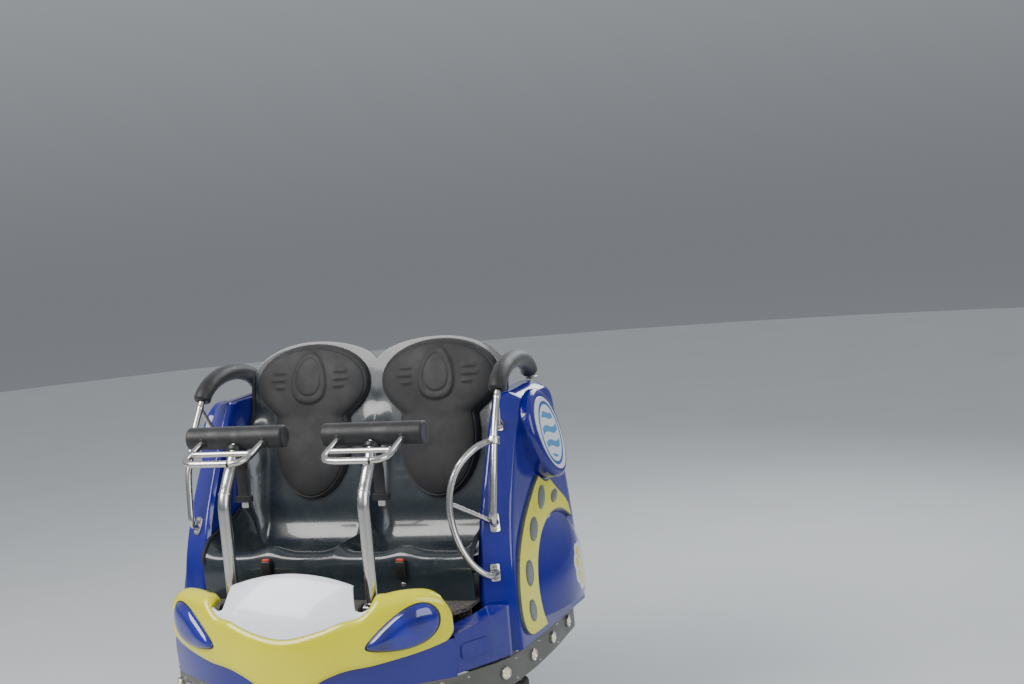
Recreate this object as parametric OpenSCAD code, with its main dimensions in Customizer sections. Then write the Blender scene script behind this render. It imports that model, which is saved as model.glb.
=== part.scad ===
// Roller coaster lead car for two riders side by side, in millimetres.
// X runs across the car, Y from the nose to the rear, Z up. The car stands on its four under-rail wheels.

/* [Seats] */
// Distance between the middles of the two seats
seat_pitch = 520; // [500:5:540]
// Height of the seat's front lip above the ground
lip_z = 782; // [760:1:800]
// Height of the highest point of the seat shell
seat_top = 1478; // [1440:1:1520]
// Wall of the moulded seat shell
shell_t = 12; // [8:1:16]
// Half width of a headrest lobe of the back pad
lobe_r = 233; // [200:1:240]
// Thickness of a back pad at its crown
pad_t = 52; // [36:1:64]
// Clear height of the seat lip above the footwell floor
lip_drop = 162; // [140:1:200]

/* [Body] */
// Width of the body at its widest place
body_w = 1320; // [1280:10:1340]
// Width of the nose at its root
nose_w = 1050; // [1030:5:1070]
// Length of the swept nose ahead of the low sills
nose_l = 222; // [200:2:240]
// Height of the skirt's lower edge above the ground
skirt_z = 330; // [310:5:345]
// Height of the skirt strip
skirt_h = 98; // [80:1:110]
// Wall of the nose panels
panel_t = 10; // [6:1:14]
// Wall of the skirt
skirt_t = 8; // [5:1:12]
// Thickness of a side shield
shield_t = 137; // [120:1:145]
// Height of the top of a side shield
shield_top = 1290; // [1240:10:1320]
// Radius of the round dome low on a shield
dome_r = 240; // [220:2:246]
// How far a dome stands out of its shield
dome_out = 58; // [40:1:70]
// Thickness of the crescent band on a shield
band_t = 10; // [6:1:14]
// Diameter of a skirt lamp
lamp_d = 44; // [36:1:50]

/* [Rails and handles] */
// Diameter of the grab rail and side loop tube
rail_d = 24; // [20:1:28]
// Diameter of the foam on a handle
foam_d = 64; // [56:1:70]
// Diameter of the lap bar's post
post_d = 43; // [38:1:46]
// Diameter of the lap bar's foam roller
roller_d = 80; // [70:1:90]
// Length of the lap bar's foam roller
roller_l = 370; // [340:5:400]
// Diameter of the lap bar's hinge pin
hinge_pin_d = 20; // [16:1:24]

/* [Running gear] */
// Distance between the middles of the two rails
gauge = 700; // [690:5:705]
// Diameter of a rail's tube
track_d = 90; // [80:1:96]
// Diameter of a running wheel
run_d = 200; // [180:1:204]
// Width of a running wheel
run_w = 60; // [50:1:64]
// Diameter of a guide wheel
guide_d = 110; // [100:1:116]
// Diameter of an under-rail wheel
under_d = 110; // [100:1:120]
// Width of a guide or under-rail wheel
small_w = 50; // [40:1:54]
// Diameter of the wheel pins
axle_d = 25; // [20:1:30]
// Place of the steered front axle from the body's middle
front_axle_y = -238; // [-240:2:-226]
// Place of the fixed rear axle from the body's middle
rear_axle_y = 538; // [520:2:540]
// Diameter of the steering pin
king_d = 40; // [34:1:44]
// Bore of the rear hitch eye
hitch_d = 25; // [20:1:30]

/* [Hidden] */
$fn = 48;

// Running clearance between a pin and its bore, and between seated pieces
fit = 0.3;
// Where the nose begins, how far its mask stands out, and the end of the hitch eye, from the seats' own zero
nose_back = 290;
mask_h = 12;
tail_y = 800;
// Puts the middle of the whole car's length on zero
body_y = (nose_back + nose_l + mask_h - tail_y) / 2;

// Heights that follow from the wheels and the rail
rail_gap = 2;
track_z = under_d + rail_gap + track_d / 2;
run_z = track_z + track_d / 2 + run_d / 2;
deck_z = skirt_z + skirt_h;
deck_t = 8;
floor_z = lip_z - lip_drop;
floor_t = 12;

// Colours
blue = "#1c2a8e";
yellow = "#e1dc50";
white = "#e6ebf0";
shell_grey = "#37464e";
black = "#202224";
steel = "#b4b8ba";
dark = "#3a3c40";

// Smooth step from 0 to 1
function ease(t) = let (u = min(1, max(0, t))) u * u * (3 - 2 * u);
function unit(v) = v / norm(v);

module in_body() translate([0, body_y, 0]) children();
module both_sides() { children(); mirror([1, 0, 0]) children(); }
module each_seat() for (side = [-1, 1]) translate([side * seat_pitch / 2, 0, 0]) children();

// A closed wall between an outer and an inner grid of points, both as rows going up, columns going right
module wall_between(outer, inner) {
    m = len(outer);
    n = len(outer[0]);
    k = m * n;
    points = [for (g = [outer, inner]) for (row = g) for (p = row) p];
    faces = [
        for (i = [0:m - 2]) for (j = [0:n - 2]) let (a = i * n + j, b = a + 1, d = a + n, c = d + 1)
            each [[a, d, c], [a, c, b], [a + k, c + k, d + k], [a + k, b + k, c + k]],
        for (j = [0:n - 2]) let (a = j, b = j + 1, d = (m - 1) * n + j, c = d + 1)
            each [[a, b, b + k], [a, b + k, a + k], [c, d, d + k], [c, d + k, c + k]],
        for (i = [0:m - 2]) let (b = i * n + n - 1, c = b + n, a = i * n, d = a + n)
            each [[b, c, c + k], [b, c + k, b + k], [d, a, a + k], [d, a + k, d + k]]];
    polyhedron(points, faces);
}

// A closed skin over rings of points, each ring counter-clockwise seen from the last ring's side
module skin(rings) {
    n = len(rings[0]);
    m = len(rings);
    function middle(r) = [for (k = [0:2]) [for (p = r) p[k]] * [for (p = r) 1] / n];
    points = concat([for (r = rings) for (p = r) p], [middle(rings[0]), middle(rings[m - 1])]);
    faces = [
        for (i = [0:m - 2]) for (j = [0:n - 1])
            let (a = i * n + j, b = i * n + (j + 1) % n, d = a + n, c = b + n)
                each [[a, d, c], [a, c, b]],
        for (j = [0:n - 1]) let (b = (j + 1) % n, e = (m - 1) * n)
            each [[m * n, j, b], [m * n + 1, e + b, e + j]]];
    polyhedron(points, faces);
}

// A round tube swept along points, with a frame that keeps its first side away from the X axis
module tube_along(path, d, sides = 10) {
    last = len(path) - 1;
    function heading(i) = unit(path[min(last, i + 1)] - path[max(0, i - 1)]);
    function ring(i) = let (t = heading(i), u = unit(cross(t, [1, 0.02, 0.01])), v = cross(t, u))
        [for (k = [0:sides - 1]) let (a = 360 * k / sides) path[i] + d / 2 * (cos(a) * u + sin(a) * v)];
    skin([for (i = [0:last]) ring(i)]);
}

// Points on a smooth curve through the given corners, each corner cut by a quadratic bend of length r
function bend(p, q, s, r, n) = let (a = q + unit(p - q) * r, b = q + unit(s - q) * r)
    [for (i = [0:n]) let (t = i / n) a * (1 - t) * (1 - t) + q * 2 * t * (1 - t) + b * t * t];
function rounded_path(c, r, n) = [c[0],
    for (i = [1:len(c) - 2]) each bend(c[i - 1], c[i], c[i + 1], r, n), c[len(c) - 1]];

// Plan outline of the lower body, right half from the nose tip to the rear, in three facets a lamp
lamp_step = 20;
side_start = -215;
side_span = 204;
side_spans = 4;
rear_y = 660;
rear_r = 60;
// Half width of the body's side. Columns: y, distance inside the widest place
side_rows = [[-nose_back, (body_w - nose_w) / 2], [-96, 22], [130, 3], [350, 0], [rear_y - rear_r, 12]];
function side_point(y) = [body_w / 2 - lookup(y, side_rows), y];
function nose_point(a) = [nose_w / 2 * sin(a), -nose_back - nose_l * cos(a) * cos(a)];
half_plan = concat(
    [for (i = [0:12]) nose_point(lamp_step * (i + 0.5) / 3)],
    [side_point(-nose_back)],
    [for (i = [0:side_spans * 3 - 1]) side_point(side_start + side_span * i / 3)],
    [let (p = side_point(rear_y - rear_r)) each [for (a = [0:15:90])
        [p[0] - rear_r + rear_r * cos(a), p[1] + rear_r * sin(a)]]]);
module body_plan(inset = 0) offset(delta = -inset)
    polygon(concat(half_plan, [for (i = [len(half_plan) - 1:-1:0]) [-half_plan[i][0], half_plan[i][1]]]));

// Nose surface: a goes round from the left side (-90) over the front (0) to the right (90) and past it
// round the ear's end; z is the height. Columns: z, half width less nose_w / 2, reach less nose_l
nose_rows = [[deck_z, 0, 0], [500, 2, 0], [610, 0, -9], [690, -4, -22], [740, -8, -40]];
ear_end_r = 24;
ear_end_turn = 4;
function nose_col(z, k) = lookup(z, [for (r = nose_rows) [r[0], r[k]]]);
function nose_out(a, z, e = 90) = let (g = min(e, abs(a)), n = unit([2 * (nose_l + nose_col(z, 2)) * sin(g)
    / (nose_w / 2 + nose_col(z, 1)), -1]), t = ear_end_turn * max(0, abs(a) - e))
    [sign(a) * (n[0] * cos(t) - n[1] * sin(t)), n[0] * sin(t) + n[1] * cos(t), 0];
function nose_at(a, z, e = 90) = let (g = sign(a) * min(e, abs(a)),
    p = [(nose_w / 2 + nose_col(z, 1)) * sin(g), -nose_back - (nose_l + nose_col(z, 2)) * cos(g) * cos(g), z])
    p + ear_end_r * (nose_out(a, z, e) - nose_out(g, z, e));
function nose_off(a, z, h, e = 90) = nose_at(a, z, e) + h * nose_out(a, z, e);
// The mask's edges. Columns: angle, height of the lower edge, height of the upper edge
mask_rows = [[0, 452, 609], [12, 460, 627], [15, 474, 634], [22, 497, 655], [34, 510, 693], [36.5, 513, 722],
    [42, 520, 731], [54, 534, 735], [67, 550, 722], [73, 557, 706], [77, 563, 697], [81, 569, 687],
    [85, 576, 675], [89, 584, 662]];
// The ears follow the nose up to this angle, and their ends turn in past it
ear_end = 73;
mask_half = [6, 12, 15, 22, 28, 34, 34.6, 35.2, 35.8, 36.5, 39, 42, 48, 54, 60, 67, ear_end, 77, 81, 85, 89];
function mirrored(half) = concat([for (k = [len(half) - 1:-1:0]) -half[k]], [0], half);
mask_angles = mirrored(mask_half);
// Radius of the ears' turned-in lip, and for each row of the mask its share of the height between the
// ears, the same on the ears, and its turn on the ears
ear_r = 24;
ear_start = 34;
ear_span = 2.5;
// The lip turns in less towards the ear's end, by this share from this angle on
ear_fade = [ear_end - 15, 15, 0.58];
mask_levels = [[0, 0, 0], [0.3, 0.34, 0], [0.6, 0.67, 0], [0.9, 1, 0], [0.925, 1, 40], [0.95, 1, 80],
    [0.975, 1, 120], [1, 1, 150]];
function body_top(a) = edge(min(abs(a), ear_end), 1);
function edge(a, k) = lookup(abs(a), [for (r = mask_rows) [r[0], r[k]]]);
function mask_at(a, k, h) = let (m = ease((abs(a) - ear_start) / ear_span), r = mask_levels[k],
    f = m * r[2] * (1 - ear_fade[2] * ease((abs(a) - ear_fade[0]) / ear_fade[1])),
    s = (1 - m) * r[0] + m * r[1], low = edge(a, 1) + fit,
    z = low + s * (edge(a, 2) - m * (ear_r + mask_h) - low))
    nose_off(a, z, (ear_r + h) * cos(f) - ear_r, ear_end) + [0, 0, (ear_r + h) * sin(f)];
module nose_mask() color(yellow) in_body() wall_between(
    [for (k = [0:7]) [for (a = mask_angles) mask_at(a, k, mask_h)]],
    [for (k = [0:7]) [for (a = mask_angles) mask_at(a, k, -panel_t)]]);
nose_angles = mirrored(concat([for (a = mask_half) if (a < ear_end) a], [75, 83, 90]));
module nose_body() color(blue) in_body() wall_between(
    [for (s = [0:0.5:1]) [for (a = nose_angles) nose_off(a, deck_z + s * (body_top(a) - deck_z), 0)]],
    [for (s = [0:0.5:1]) [for (a = nose_angles) nose_off(a, deck_z + s * (body_top(a) - deck_z), -panel_t)]]);

// Hood between the mask's V edge and its own free rear edge. Columns: share of the way, half width
hood_half = nose_w / 2 * sin(ear_start);
hood_rows = [[0, hood_half], [0.12, 276], [0.26, 246], [0.5, 238], [0.75, 231], [1, 224]];
hood_low = -1;
hood_rear = [-389, -5, 801, -38];
hood_bulge = 14;
hood_steps = [for (a = mask_angles) if (abs(a) <= ear_start) sin(a) / sin(ear_start)];
function hood_at(s, r, h) = let (x = s * r[1], a = asin(x / (nose_w / 2)), v = s * s,
    low = nose_off(a, edge(a, 2), hood_low + h * (1 - r[0])) + [0, 0, fit],
    rear = [x, hood_rear[0] + hood_rear[1] * v, hood_rear[2] + hood_rear[3] * v], b = 4 * r[0] * (1 - r[0]) * hood_bulge)
    low + (rear - low) * r[0] + (b * (1 - v) + h * r[0]) * [0, -0.86, 0.5];
module hood() color(white) in_body() wall_between(
    [for (r = hood_rows) [for (s = hood_steps) hood_at(s, r, 0)]],
    [for (r = hood_rows) [for (s = hood_steps) hood_at(s, r, -panel_t + 1)]]);

// Tear-drop lenses on the mask, from the inner low tip to the round outer top, as X and Z
lens_mid = [nose_w / 2 - 143, 611];
lens_long = [104, 40];
lens_wide = [14, -84];
lens_h = 24;
lens_seat = 0.7;
// Rings on a lens, out along its underside and back over its top: share of its outline, share of its height
lens_rings = [[0.25, 0], [0.6, 0], [0.85, 0], [1, 0], [0.97, 0.35], [0.85, 0.65], [0.6, 0.88], [0.25, 1]];
function lens_at(q, r, h) = let (m = lens_mid + r * (cos(q) * lens_long
    + sin(q) * (0.67 + 0.33 * cos(q)) * lens_wide)) nose_off(asin(m[0] / (nose_w / 2)), m[1], mask_h + lens_seat + h);
module nose_lenses() color(blue) in_body() both_sides()
    skin([for (g = lens_rings) [for (q = [340:-20:0]) lens_at(q, g[0], g[1] * lens_h)]]);

// Double bucket seat: rows from the foot of the front face over the lip, the pan and up the back.
// Columns: y, z, lift of the pan at its sides, how far the back's sides come forward, hump on the lip
back_lean = 0.27;
knee_z = 1160;
knee_y = 404;
seat_rows = [
    [-64, floor_z, 0, 0, 0],
    [-64, lip_z - 37, 0, 0, 0],
    [-54, lip_z - 10, 6, 0, 12],
    [-20, lip_z, 18, 0, 20],
    [40, lip_z - 18, 40, 0, 10],
    [110, lip_z - 40, 62, 0, 0],
    [200, lip_z - 50, 75, 10, 0],
    [275, lip_z - 37, 78, 40, 0],
    [318, lip_z + 18, 50, 60, 0],
    [340, 900, 10, 62, 0],
    [372, 1030, 0, 60, 0],
    [knee_y, knee_z, 0, 30, 0]];
seat_high = [0.27, 0.54, 0.8, 1];
seat_columns = [-1, -0.93, -0.86, -0.78, -0.45, -0.15, 0, 0.15, 0.45, 0.78, 0.86, 0.93, 1];
outer_lift = 1.8;
seat_half = seat_pitch / 2;
function bolster(s) = pow(max(0, abs(s) - 0.78) / 0.22, 2);
function shell_edge(s, k) = seat_top - (k > 1 ? 150 : 93) * (1 - sqrt(max(0, 1 - s * s / 1.04)));
function row_at(i, s, k) = i < len(seat_rows)
    ? let (r = seat_rows[i]) [r[0] - r[3] * bolster(s),
        r[1] + r[2] * k * bolster(s) + r[4] * exp(-pow(s / 0.22, 2))]
    : let (z = knee_z + (shell_edge(s, k) - knee_z) * seat_high[i - len(seat_rows)])
        [knee_y + (z - knee_z) * back_lean, z];
row_count = len(seat_rows) + len(seat_high);
function row_normal(i, s, k) = let (
    t = unit(row_at(min(row_count - 1, i + 1), s, k) - row_at(i == 1 ? 1 : max(0, i - 1), s, k)))
    i == 0 ? [-1, 0] : [-t[1], t[0]];
function shell_row(i, depth) = [for (side = [-1, 1]) for (s = seat_columns)
    if (side == -1 || s > -1) let (k = side * s > 0 ? outer_lift : 1,
        p = row_at(i, s, k) - depth * row_normal(i, s, k))
        [side * seat_half + s * seat_half, p[0], p[1]]];
module seat_shell() color(shell_grey) in_body() wall_between(
    [for (i = [0:row_count - 1]) shell_row(i, 0)],
    [for (i = [0:row_count - 1]) shell_row(i, shell_t)]);

// Back pads: a wide round lobe over a narrower tongue, lying on the shell's back
lobe_h = 135;
lobe_edge = 8;
lobe_z = seat_top - lobe_h - lobe_edge;
tongue_r = 160;
tongue_z = 1120;
tongue_h = 225;
function arch(z, mid, half, r) = r * sqrt(max(0, 1 - pow((z - mid) / half, 2)));
function pad_half(z) = max(14,
    pow(pow(arch(z, lobe_z, lobe_h, lobe_r), 3) + pow(arch(z, tongue_z, tongue_h, tongue_r), 3), 1 / 3));
pad_low = tongue_z - tongue_h + 4;
pad_high = lobe_z + lobe_h - 2;
pad_levels = concat([pad_low, 908, 930, 970], [1030, 1100, knee_z],
    [for (t = [0.17:0.17:0.68]) knee_z + t * (pad_high - knee_z)],
    [pad_high - 62, pad_high - 32, pad_high - 12, pad_high]);
function back_y(z) = lookup(z, [[900, 340], [1030, 372], [knee_z, knee_y],
    [2 * knee_z, knee_y + knee_z * back_lean]]);
function pad_row(z, front) = let (q = (z - pad_low) / (pad_high - pad_low) * 2 - 1)
    [for (i = [-6:6]) let (a = sin(i * 15),
        crown = 0.35 + 0.65 * sqrt(1 - pow(a, 6)) * sqrt(max(0, 1 - pow(q, 8))))
        [a * pad_half(z), back_y(z) - fit - (front ? pad_t * crown : 0), z]];
module seat_pads() color(black) in_body() each_seat()
    wall_between([for (z = pad_levels) pad_row(z, true)], [for (z = pad_levels) pad_row(z, false)]);

// Outer face of a side shield: a plane that turns in towards the front and leans in towards the top
side_yaw = 2.5;
side_lean = 4;
shield_in = seat_half * 2 + 5;
side_ref = [shield_in + shield_t, 330, 640];
function side_x(y, z) = side_ref[0] + (y - side_ref[1]) * tan(side_yaw) - (z - side_ref[2]) * tan(side_lean);
// Draws on that plane: children's X and Y are distances along the side and up, Z is outwards
module on_side(out = 0) in_body() both_sides() translate(side_ref)
    rotate([0, 0, -side_yaw]) rotate([0, -side_lean, 0]) rotate([90, 0, 90])
        translate([-side_ref[1], -side_ref[2], out]) children();

// Side shield: its foremost line as z and y, then its outline and bevels
shield_foot = deck_z + deck_t;
shield_line = [[shield_foot, -60], [640, -42], [771, -20], [942, 48], [1055, 112], [1150, 170], [shield_top, 258]];
shield_head = 615;
shield_back_y = 640;
function shield_front(z) = lookup(z, shield_line);
// Bevels from the inner to the outer face. Columns: share of the thickness, inset in front, inset on top
shield_bevels = [[0, 16, 12], [0.15, 0, 0], [0.6, 24, 4], [1, 42, 30]];
function shield_outline(b) = concat(
    [for (q = shield_line) [q[1] + b[1], q[0] - (q[0] == shield_top ? b[2] : 0)]],
    [[shield_head - 60, shield_top - b[2]], [shield_head - 18, shield_top - 16 - b[2]],
        [shield_head, shield_top - 60 - b[2]]],
    [for (t = [1:5]) let (z = shield_top - 60 - (shield_top - 60 - shield_foot) * t / 5)
        [shield_head + (shield_back_y - shield_head) * ease(t / 3), z]]);
module side_shields() color(blue) in_body() both_sides() skin([for (b = shield_bevels)
    [for (q = shield_outline(b)) [shield_in + b[0] * (side_x(q[0], q[1]) - shield_in), q[0], q[1]]]]);
// A point on the front bevel at a share of the thickness, and the direction out of it
function bevel(s, k) = lookup(s, [for (b = shield_bevels) [b[0], b[k]]]);
function front_at(s, z) = let (y = shield_front(z) + bevel(s, 1)) [shield_in + s * (side_x(y, z) - shield_in), y, z];
function front_out(s, z) = unit(cross(front_at(s + 0.05, z) - front_at(s - 0.05, z), front_at(s, z + 9) - front_at(s, z - 9)));

// Crescent band round the dome, as a plate on the shield's outer face
dome_mid = [432, 575];
band_seat = 0.4;
band_edge = [[367, 989], [300, 960], [220, 907], [158, 862], [108, 815], [66, 765], [34, 710], [14, 650], [2, 587],
    [2, 540], [14, 500], [40, 470], [80, 456], [300, 456], [300, 478], [600, 500], [600, 800], [560, 850], [500, 890],
    [440, 940], [400, 975]];
// The band ends behind this distance from the dome's middle, and below this height over it
band_cut = [132, 190];
module side_bands() color(yellow) on_side(band_seat) linear_extrude(band_t) difference() {
    polygon(band_edge);
    translate(dome_mid) circle(dome_r + 3, $fn = 96);
    translate([dome_mid[0] - band_cut[0], 0]) square([2 * dome_r, dome_mid[1] + band_cut[1]]);
    pod_shape(6);
}

// Dark spots along the band. Columns: place along the side, height, half length, half width, tilt
spots = [[328, 893, 46, 30, -38], [213, 803, 46, 34, -42], [118, 668, 46, 34, -12], [98, 540, 40, 30, 10],
    [452, 872, 34, 22, -70]];
spot_t = 2;
module band_spots() color(dark) on_side(band_seat + band_t) for (q = spots)
    translate([q[0], q[1]]) rotate([0, 0, q[4]]) linear_extrude(spot_t) scale([q[3] / q[2], 1]) circle(q[2], $fn = 32);

// Round dome, the cap of a large sphere, cut off level above the skirt
dome_ball = (dome_r * dome_r + dome_out * dome_out) / (2 * dome_out);
dome_low = 482;
module side_domes() color(blue) on_side(band_seat) intersection() {
    translate([dome_mid[0], dome_mid[1], dome_out - dome_ball]) sphere(dome_ball, $fn = 96);
    translate([dome_mid[0] - dome_r - 9, dome_low, 0])
        cube([shield_back_y - 12 - dome_mid[0] + dome_r + 9, 2 * dome_r, dome_out + 9]);
}

// Egg-shaped pod high on the shield and the pale oval plate on it, both standing out further below
pod_mid = [395, shield_top - 178];
pod_half = [128, 168];
pod_out = 55;
pod_tilt = -14;
pod_lean = 8;
function egg(c, half, grow) = [for (a = [0:12:348]) let (
    p = [(half[0] + grow) * cos(a) * (1 + 0.08 * sin(a)), (half[1] + grow) * sin(a)])
    c + [p[0] * cos(pod_tilt) + p[1] * sin(pod_tilt), p[1] * cos(pod_tilt) - p[0] * sin(pod_tilt)]];
module pod_shape(grow = 0) polygon(egg(pod_mid, pod_half, grow));
// Rings of the pod: share of its height, inset
pod_rings = [[0, 0], [0.7, 0], [0.92, 7], [1, 18]];
module side_pods() color(blue) on_side(band_seat) skin([for (r = pod_rings)
    [for (q = egg(pod_mid, pod_half, -r[1])) [q[0], q[1], (pod_out - (q[1] - pod_mid[1]) * tan(pod_lean)) * r[0]]]]);
plate_inset = 30;
plate_t = 3;
module pod_plates() color(white) on_side(band_seat + fit) translate([0, pod_mid[1], pod_out])
    rotate([-pod_lean, 0, 0]) translate([0, -pod_mid[1], 0]) linear_extrude(plate_t) pod_shape(-plate_inset);

// Skirt strip round the body, with its lamps on the middle facets
module skirts() color("#5a5c58") in_body() translate([0, 0, skirt_z]) linear_extrude(skirt_h)
    difference() {
        body_plan();
        body_plan(skirt_t);
        translate([-spine_w / 2 - 2, 0]) square([spine_w + 4, rear_y]);
    }
lamp_z = skirt_z + skirt_h * 0.55;
lamp_t = 12;
lamp_facets = [2, 5, 8, 11, 15, 18, 21, 24];
module lamps() color("#fff3c0") in_body() both_sides() for (i = lamp_facets)
    let (p = half_plan[i], q = half_plan[i + 1], m = (p + q) / 2, d = unit(q - p), n = [d[1], -d[0]])
        translate([m[0] + n[0] * fit / 3, m[1] + n[1] * fit / 3, lamp_z])
            rotate([0, 90, atan2(n[1], n[0])]) cylinder(h = lamp_t, d = lamp_d);

// Deck plate, footwell floor on its risers, all inside the body's outline
foot_half = 2 * seat_half + 3;
foot_front = -455;
foot_back = 300;
foot_inset = 75;
riser_t = 12;
riser_y = [-400, -70, foot_back - riser_t];
module floor_tub() color(dark) in_body() {
    translate([0, 0, deck_z]) linear_extrude(deck_t) body_plan(panel_t + 12);
    translate([0, 0, floor_z - floor_t]) linear_extrude(floor_t) intersection() {
        translate([-foot_half, foot_front]) square([2 * foot_half, foot_back - foot_front]);
        body_plan(foot_inset);
    }
    translate([0, 0, deck_z + deck_t]) linear_extrude(floor_z - floor_t - deck_z - deck_t) for (y = riser_y)
        intersection() {
            translate([20 - foot_half, y]) square([2 * foot_half - 40, riser_t]);
            body_plan(foot_inset + 20);
        }
}

// Low sills to step over, between the nose and the shields, with a raised rounded panel on the outside
sill_back = shield_front(shield_foot) - fit;
// Top of the sill, as y and z
sill_top = [[-nose_back + 1, 565], [sill_back, 606]];
// The sills' front ends follow the slanting ends of the nose's wall
sill_gap = 1.2;
function sill_end(h) = nose_off(90, sill_top[0][1], h) + sill_gap * [-nose_out(90, 0)[1], nose_out(90, 0)[0], 0];
sill_mitre = [for (h = [20, -panel_t - 1]) [sill_end(h)[0], sill_end(h)[1]]];
sill_slant = atan2(side_point(-96)[0] - nose_w / 2, nose_back - 96);
sill_panel = [130, 56, 5];
module sills() color(blue) in_body() {
    intersection() {
        translate([0, 0, shield_foot]) linear_extrude(floor_z - shield_foot) difference() {
            body_plan(2);
            body_plan(foot_inset - fit);
        }
        rotate([90, 0, 90]) translate([0, 0, -body_w / 2]) linear_extrude(body_w) polygon(
            [[sill_top[0][0], shield_foot], [sill_back, shield_foot], sill_top[1], sill_top[0]]);
        both_sides() linear_extrude(shield_top) polygon([sill_mitre[0], sill_mitre[1], [0, sill_mitre[1][1]],
            [0, sill_back], [body_w, sill_back], [body_w, sill_mitre[0][1]]]);
    }
    both_sides() translate([nose_w / 2 - 2, -nose_back, 0]) rotate([0, 0, -sill_slant]) rotate([90, 0, 90])
        translate([24, shield_foot + 38, -8]) linear_extrude(sill_panel[2] + 8) offset(r = 18, $fn = 32)
            translate([18, 18]) square([sill_panel[0] - 36, sill_panel[1] - 36]);
}

// Tubular frame behind the seats, standing on the deck
frame_d = 42;
frame_x = 300;
frame_y = 520;
frame_h = 700;
frame_cross = [700, 1080];
module seat_frame() color(dark) in_body() {
    for (x = [-frame_x, frame_x]) translate([x, frame_y, deck_z + deck_t]) {
        cylinder(h = frame_h, d = frame_d);
        cylinder(h = 10, d = 110);
    }
    for (z = frame_cross) bar_x(frame_y, z, frame_d - 8, 2 * (shield_in - fit));
}

// Grab rails ahead of each shield, the foam handle arching over its top, and the right side's loop
rail_x = 588;
rail_share = 0.5;
rail_low = 868;
loop_low = 706;
strut_z = shield_top - 110;
strut_d = 16;
// Arc of the handle: t goes from the front (0) over the top (90) to the rear (180)
handle_mid = [366, shield_top];
handle_half = [212, 100];
function handle_at(t) = [rail_x - t / 8, handle_mid[0] - handle_half[0] * cos(t), handle_mid[1] + handle_half[1] * sin(t)];
rail_top = handle_at(12);
rail_bend = [592, 86, shield_top - 85];
rail_lean = unit(rail_top - rail_bend);
rail_knee = [597, 25, shield_top - 230];
rail_path = concat(rounded_path([front_at(rail_share, rail_low) + 4 * front_out(rail_share, rail_low),
    [rail_x, -4, rail_low + 8], rail_knee, rail_bend, rail_top], 28, 4));
foam_path = concat([rail_top + fit * rail_lean, rail_top + 7 * rail_lean], [for (t = [24:12:156]) handle_at(t)],
    [handle_at(165)]);
foot_lean = unit(handle_at(165) - handle_at(156));
foot_l = (handle_at(165)[2] - shield_top - 4) / -foot_lean[2];
// Two-bolt bracket lying on a shield's front bevel
module bracket(s, z, size) let (n = front_out(s, z)) translate(front_at(s, z) + 0.6 * n)
    rotate([0, acos(n[2]), atan2(n[1], n[0])]) {
        translate([-size[0] / 2, -size[1] / 2, 0]) cube(size);
        for (x = [-1, 1]) translate([x * (size[0] / 2 - 11), 0, 0]) cylinder(h = size[2] + 5, d = 12);
    }
module grab_rails() color(steel) in_body() both_sides() {
    tube_along(rail_path, rail_d);
    bracket(rail_share, rail_low, [66, 34, 7]);
    tube_along([rail_top - 26 * rail_lean, front_at(0.42, strut_z) + 3 * front_out(0.42, strut_z)], strut_d);
    bracket(0.42, strut_z, [46, 24, 5]);
    tube_along([handle_at(165) + fit * foot_lean, handle_at(165) + foot_l * foot_lean], rail_d);
    translate([handle_at(165)[0], (handle_at(165) + foot_l * foot_lean)[1], shield_top]) cylinder(h = 8, d = 46);
}
module grab_foams() color(black) in_body() both_sides() tube_along(foam_path, foam_d);
clamp_t = 0.62;
clamp_mid = rail_knee + clamp_t * (rail_bend - rail_knee);
clamp_lean = unit(rail_bend - rail_knee);
loop_path = rounded_path([front_at(rail_share, loop_low) + 6 * front_out(rail_share, loop_low),
    [rail_x - 8, -66, loop_low - 6], [rail_x - 66, -94, loop_low + 54], [rail_x - 110, -97, loop_low + 154],
    [rail_x - 124, -90, loop_low + 272], [rail_x - 96, -66, loop_low + 374], [rail_x - 42, -8, loop_low + 436],
    clamp_mid - [22, 4, 0]], 28, 4);
bar_end = front_at(0.36, rail_low + 8) + 13 * front_out(0.36, rail_low + 8);
module side_loop() color(steel) in_body() {
    difference() {
        union() {
            tube_along(loop_path, rail_d);
            translate(clamp_mid) rotate([0, acos(clamp_lean[2]), atan2(clamp_lean[1], clamp_lean[0])])
                translate([0, 0, -13]) cylinder(h = 26, d = rail_d + 16);
        }
        translate(clamp_mid) rotate([0, acos(clamp_lean[2]), atan2(clamp_lean[1], clamp_lean[0])])
            translate([0, 0, -30]) cylinder(h = 60, d = rail_d + 2 * fit);
    }
    bracket(rail_share, loop_low, [60, 34, 7]);
    tube_along([[rail_x - 124, -91, loop_low + 262], bar_end], rail_d - 6);
}

// Lap bars, drawn for the seat's own middle: hinge, post with its bend, and the T for the roller
lap_y = -325;
lap_z = floor_z + 35;
post_top = 1035;
post_bend = 60;
roller_y = -185;
roller_z = 1230;
lean = atan2(roller_y - lap_y, roller_z - post_top);
bend_l = post_bend * tan(lean / 2);
reach_l = norm([roller_y - lap_y, roller_z - post_top]);
hub_d = 56;
hub_l = 60;
core_d = 34;
core_l = roller_l - 20;
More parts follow.
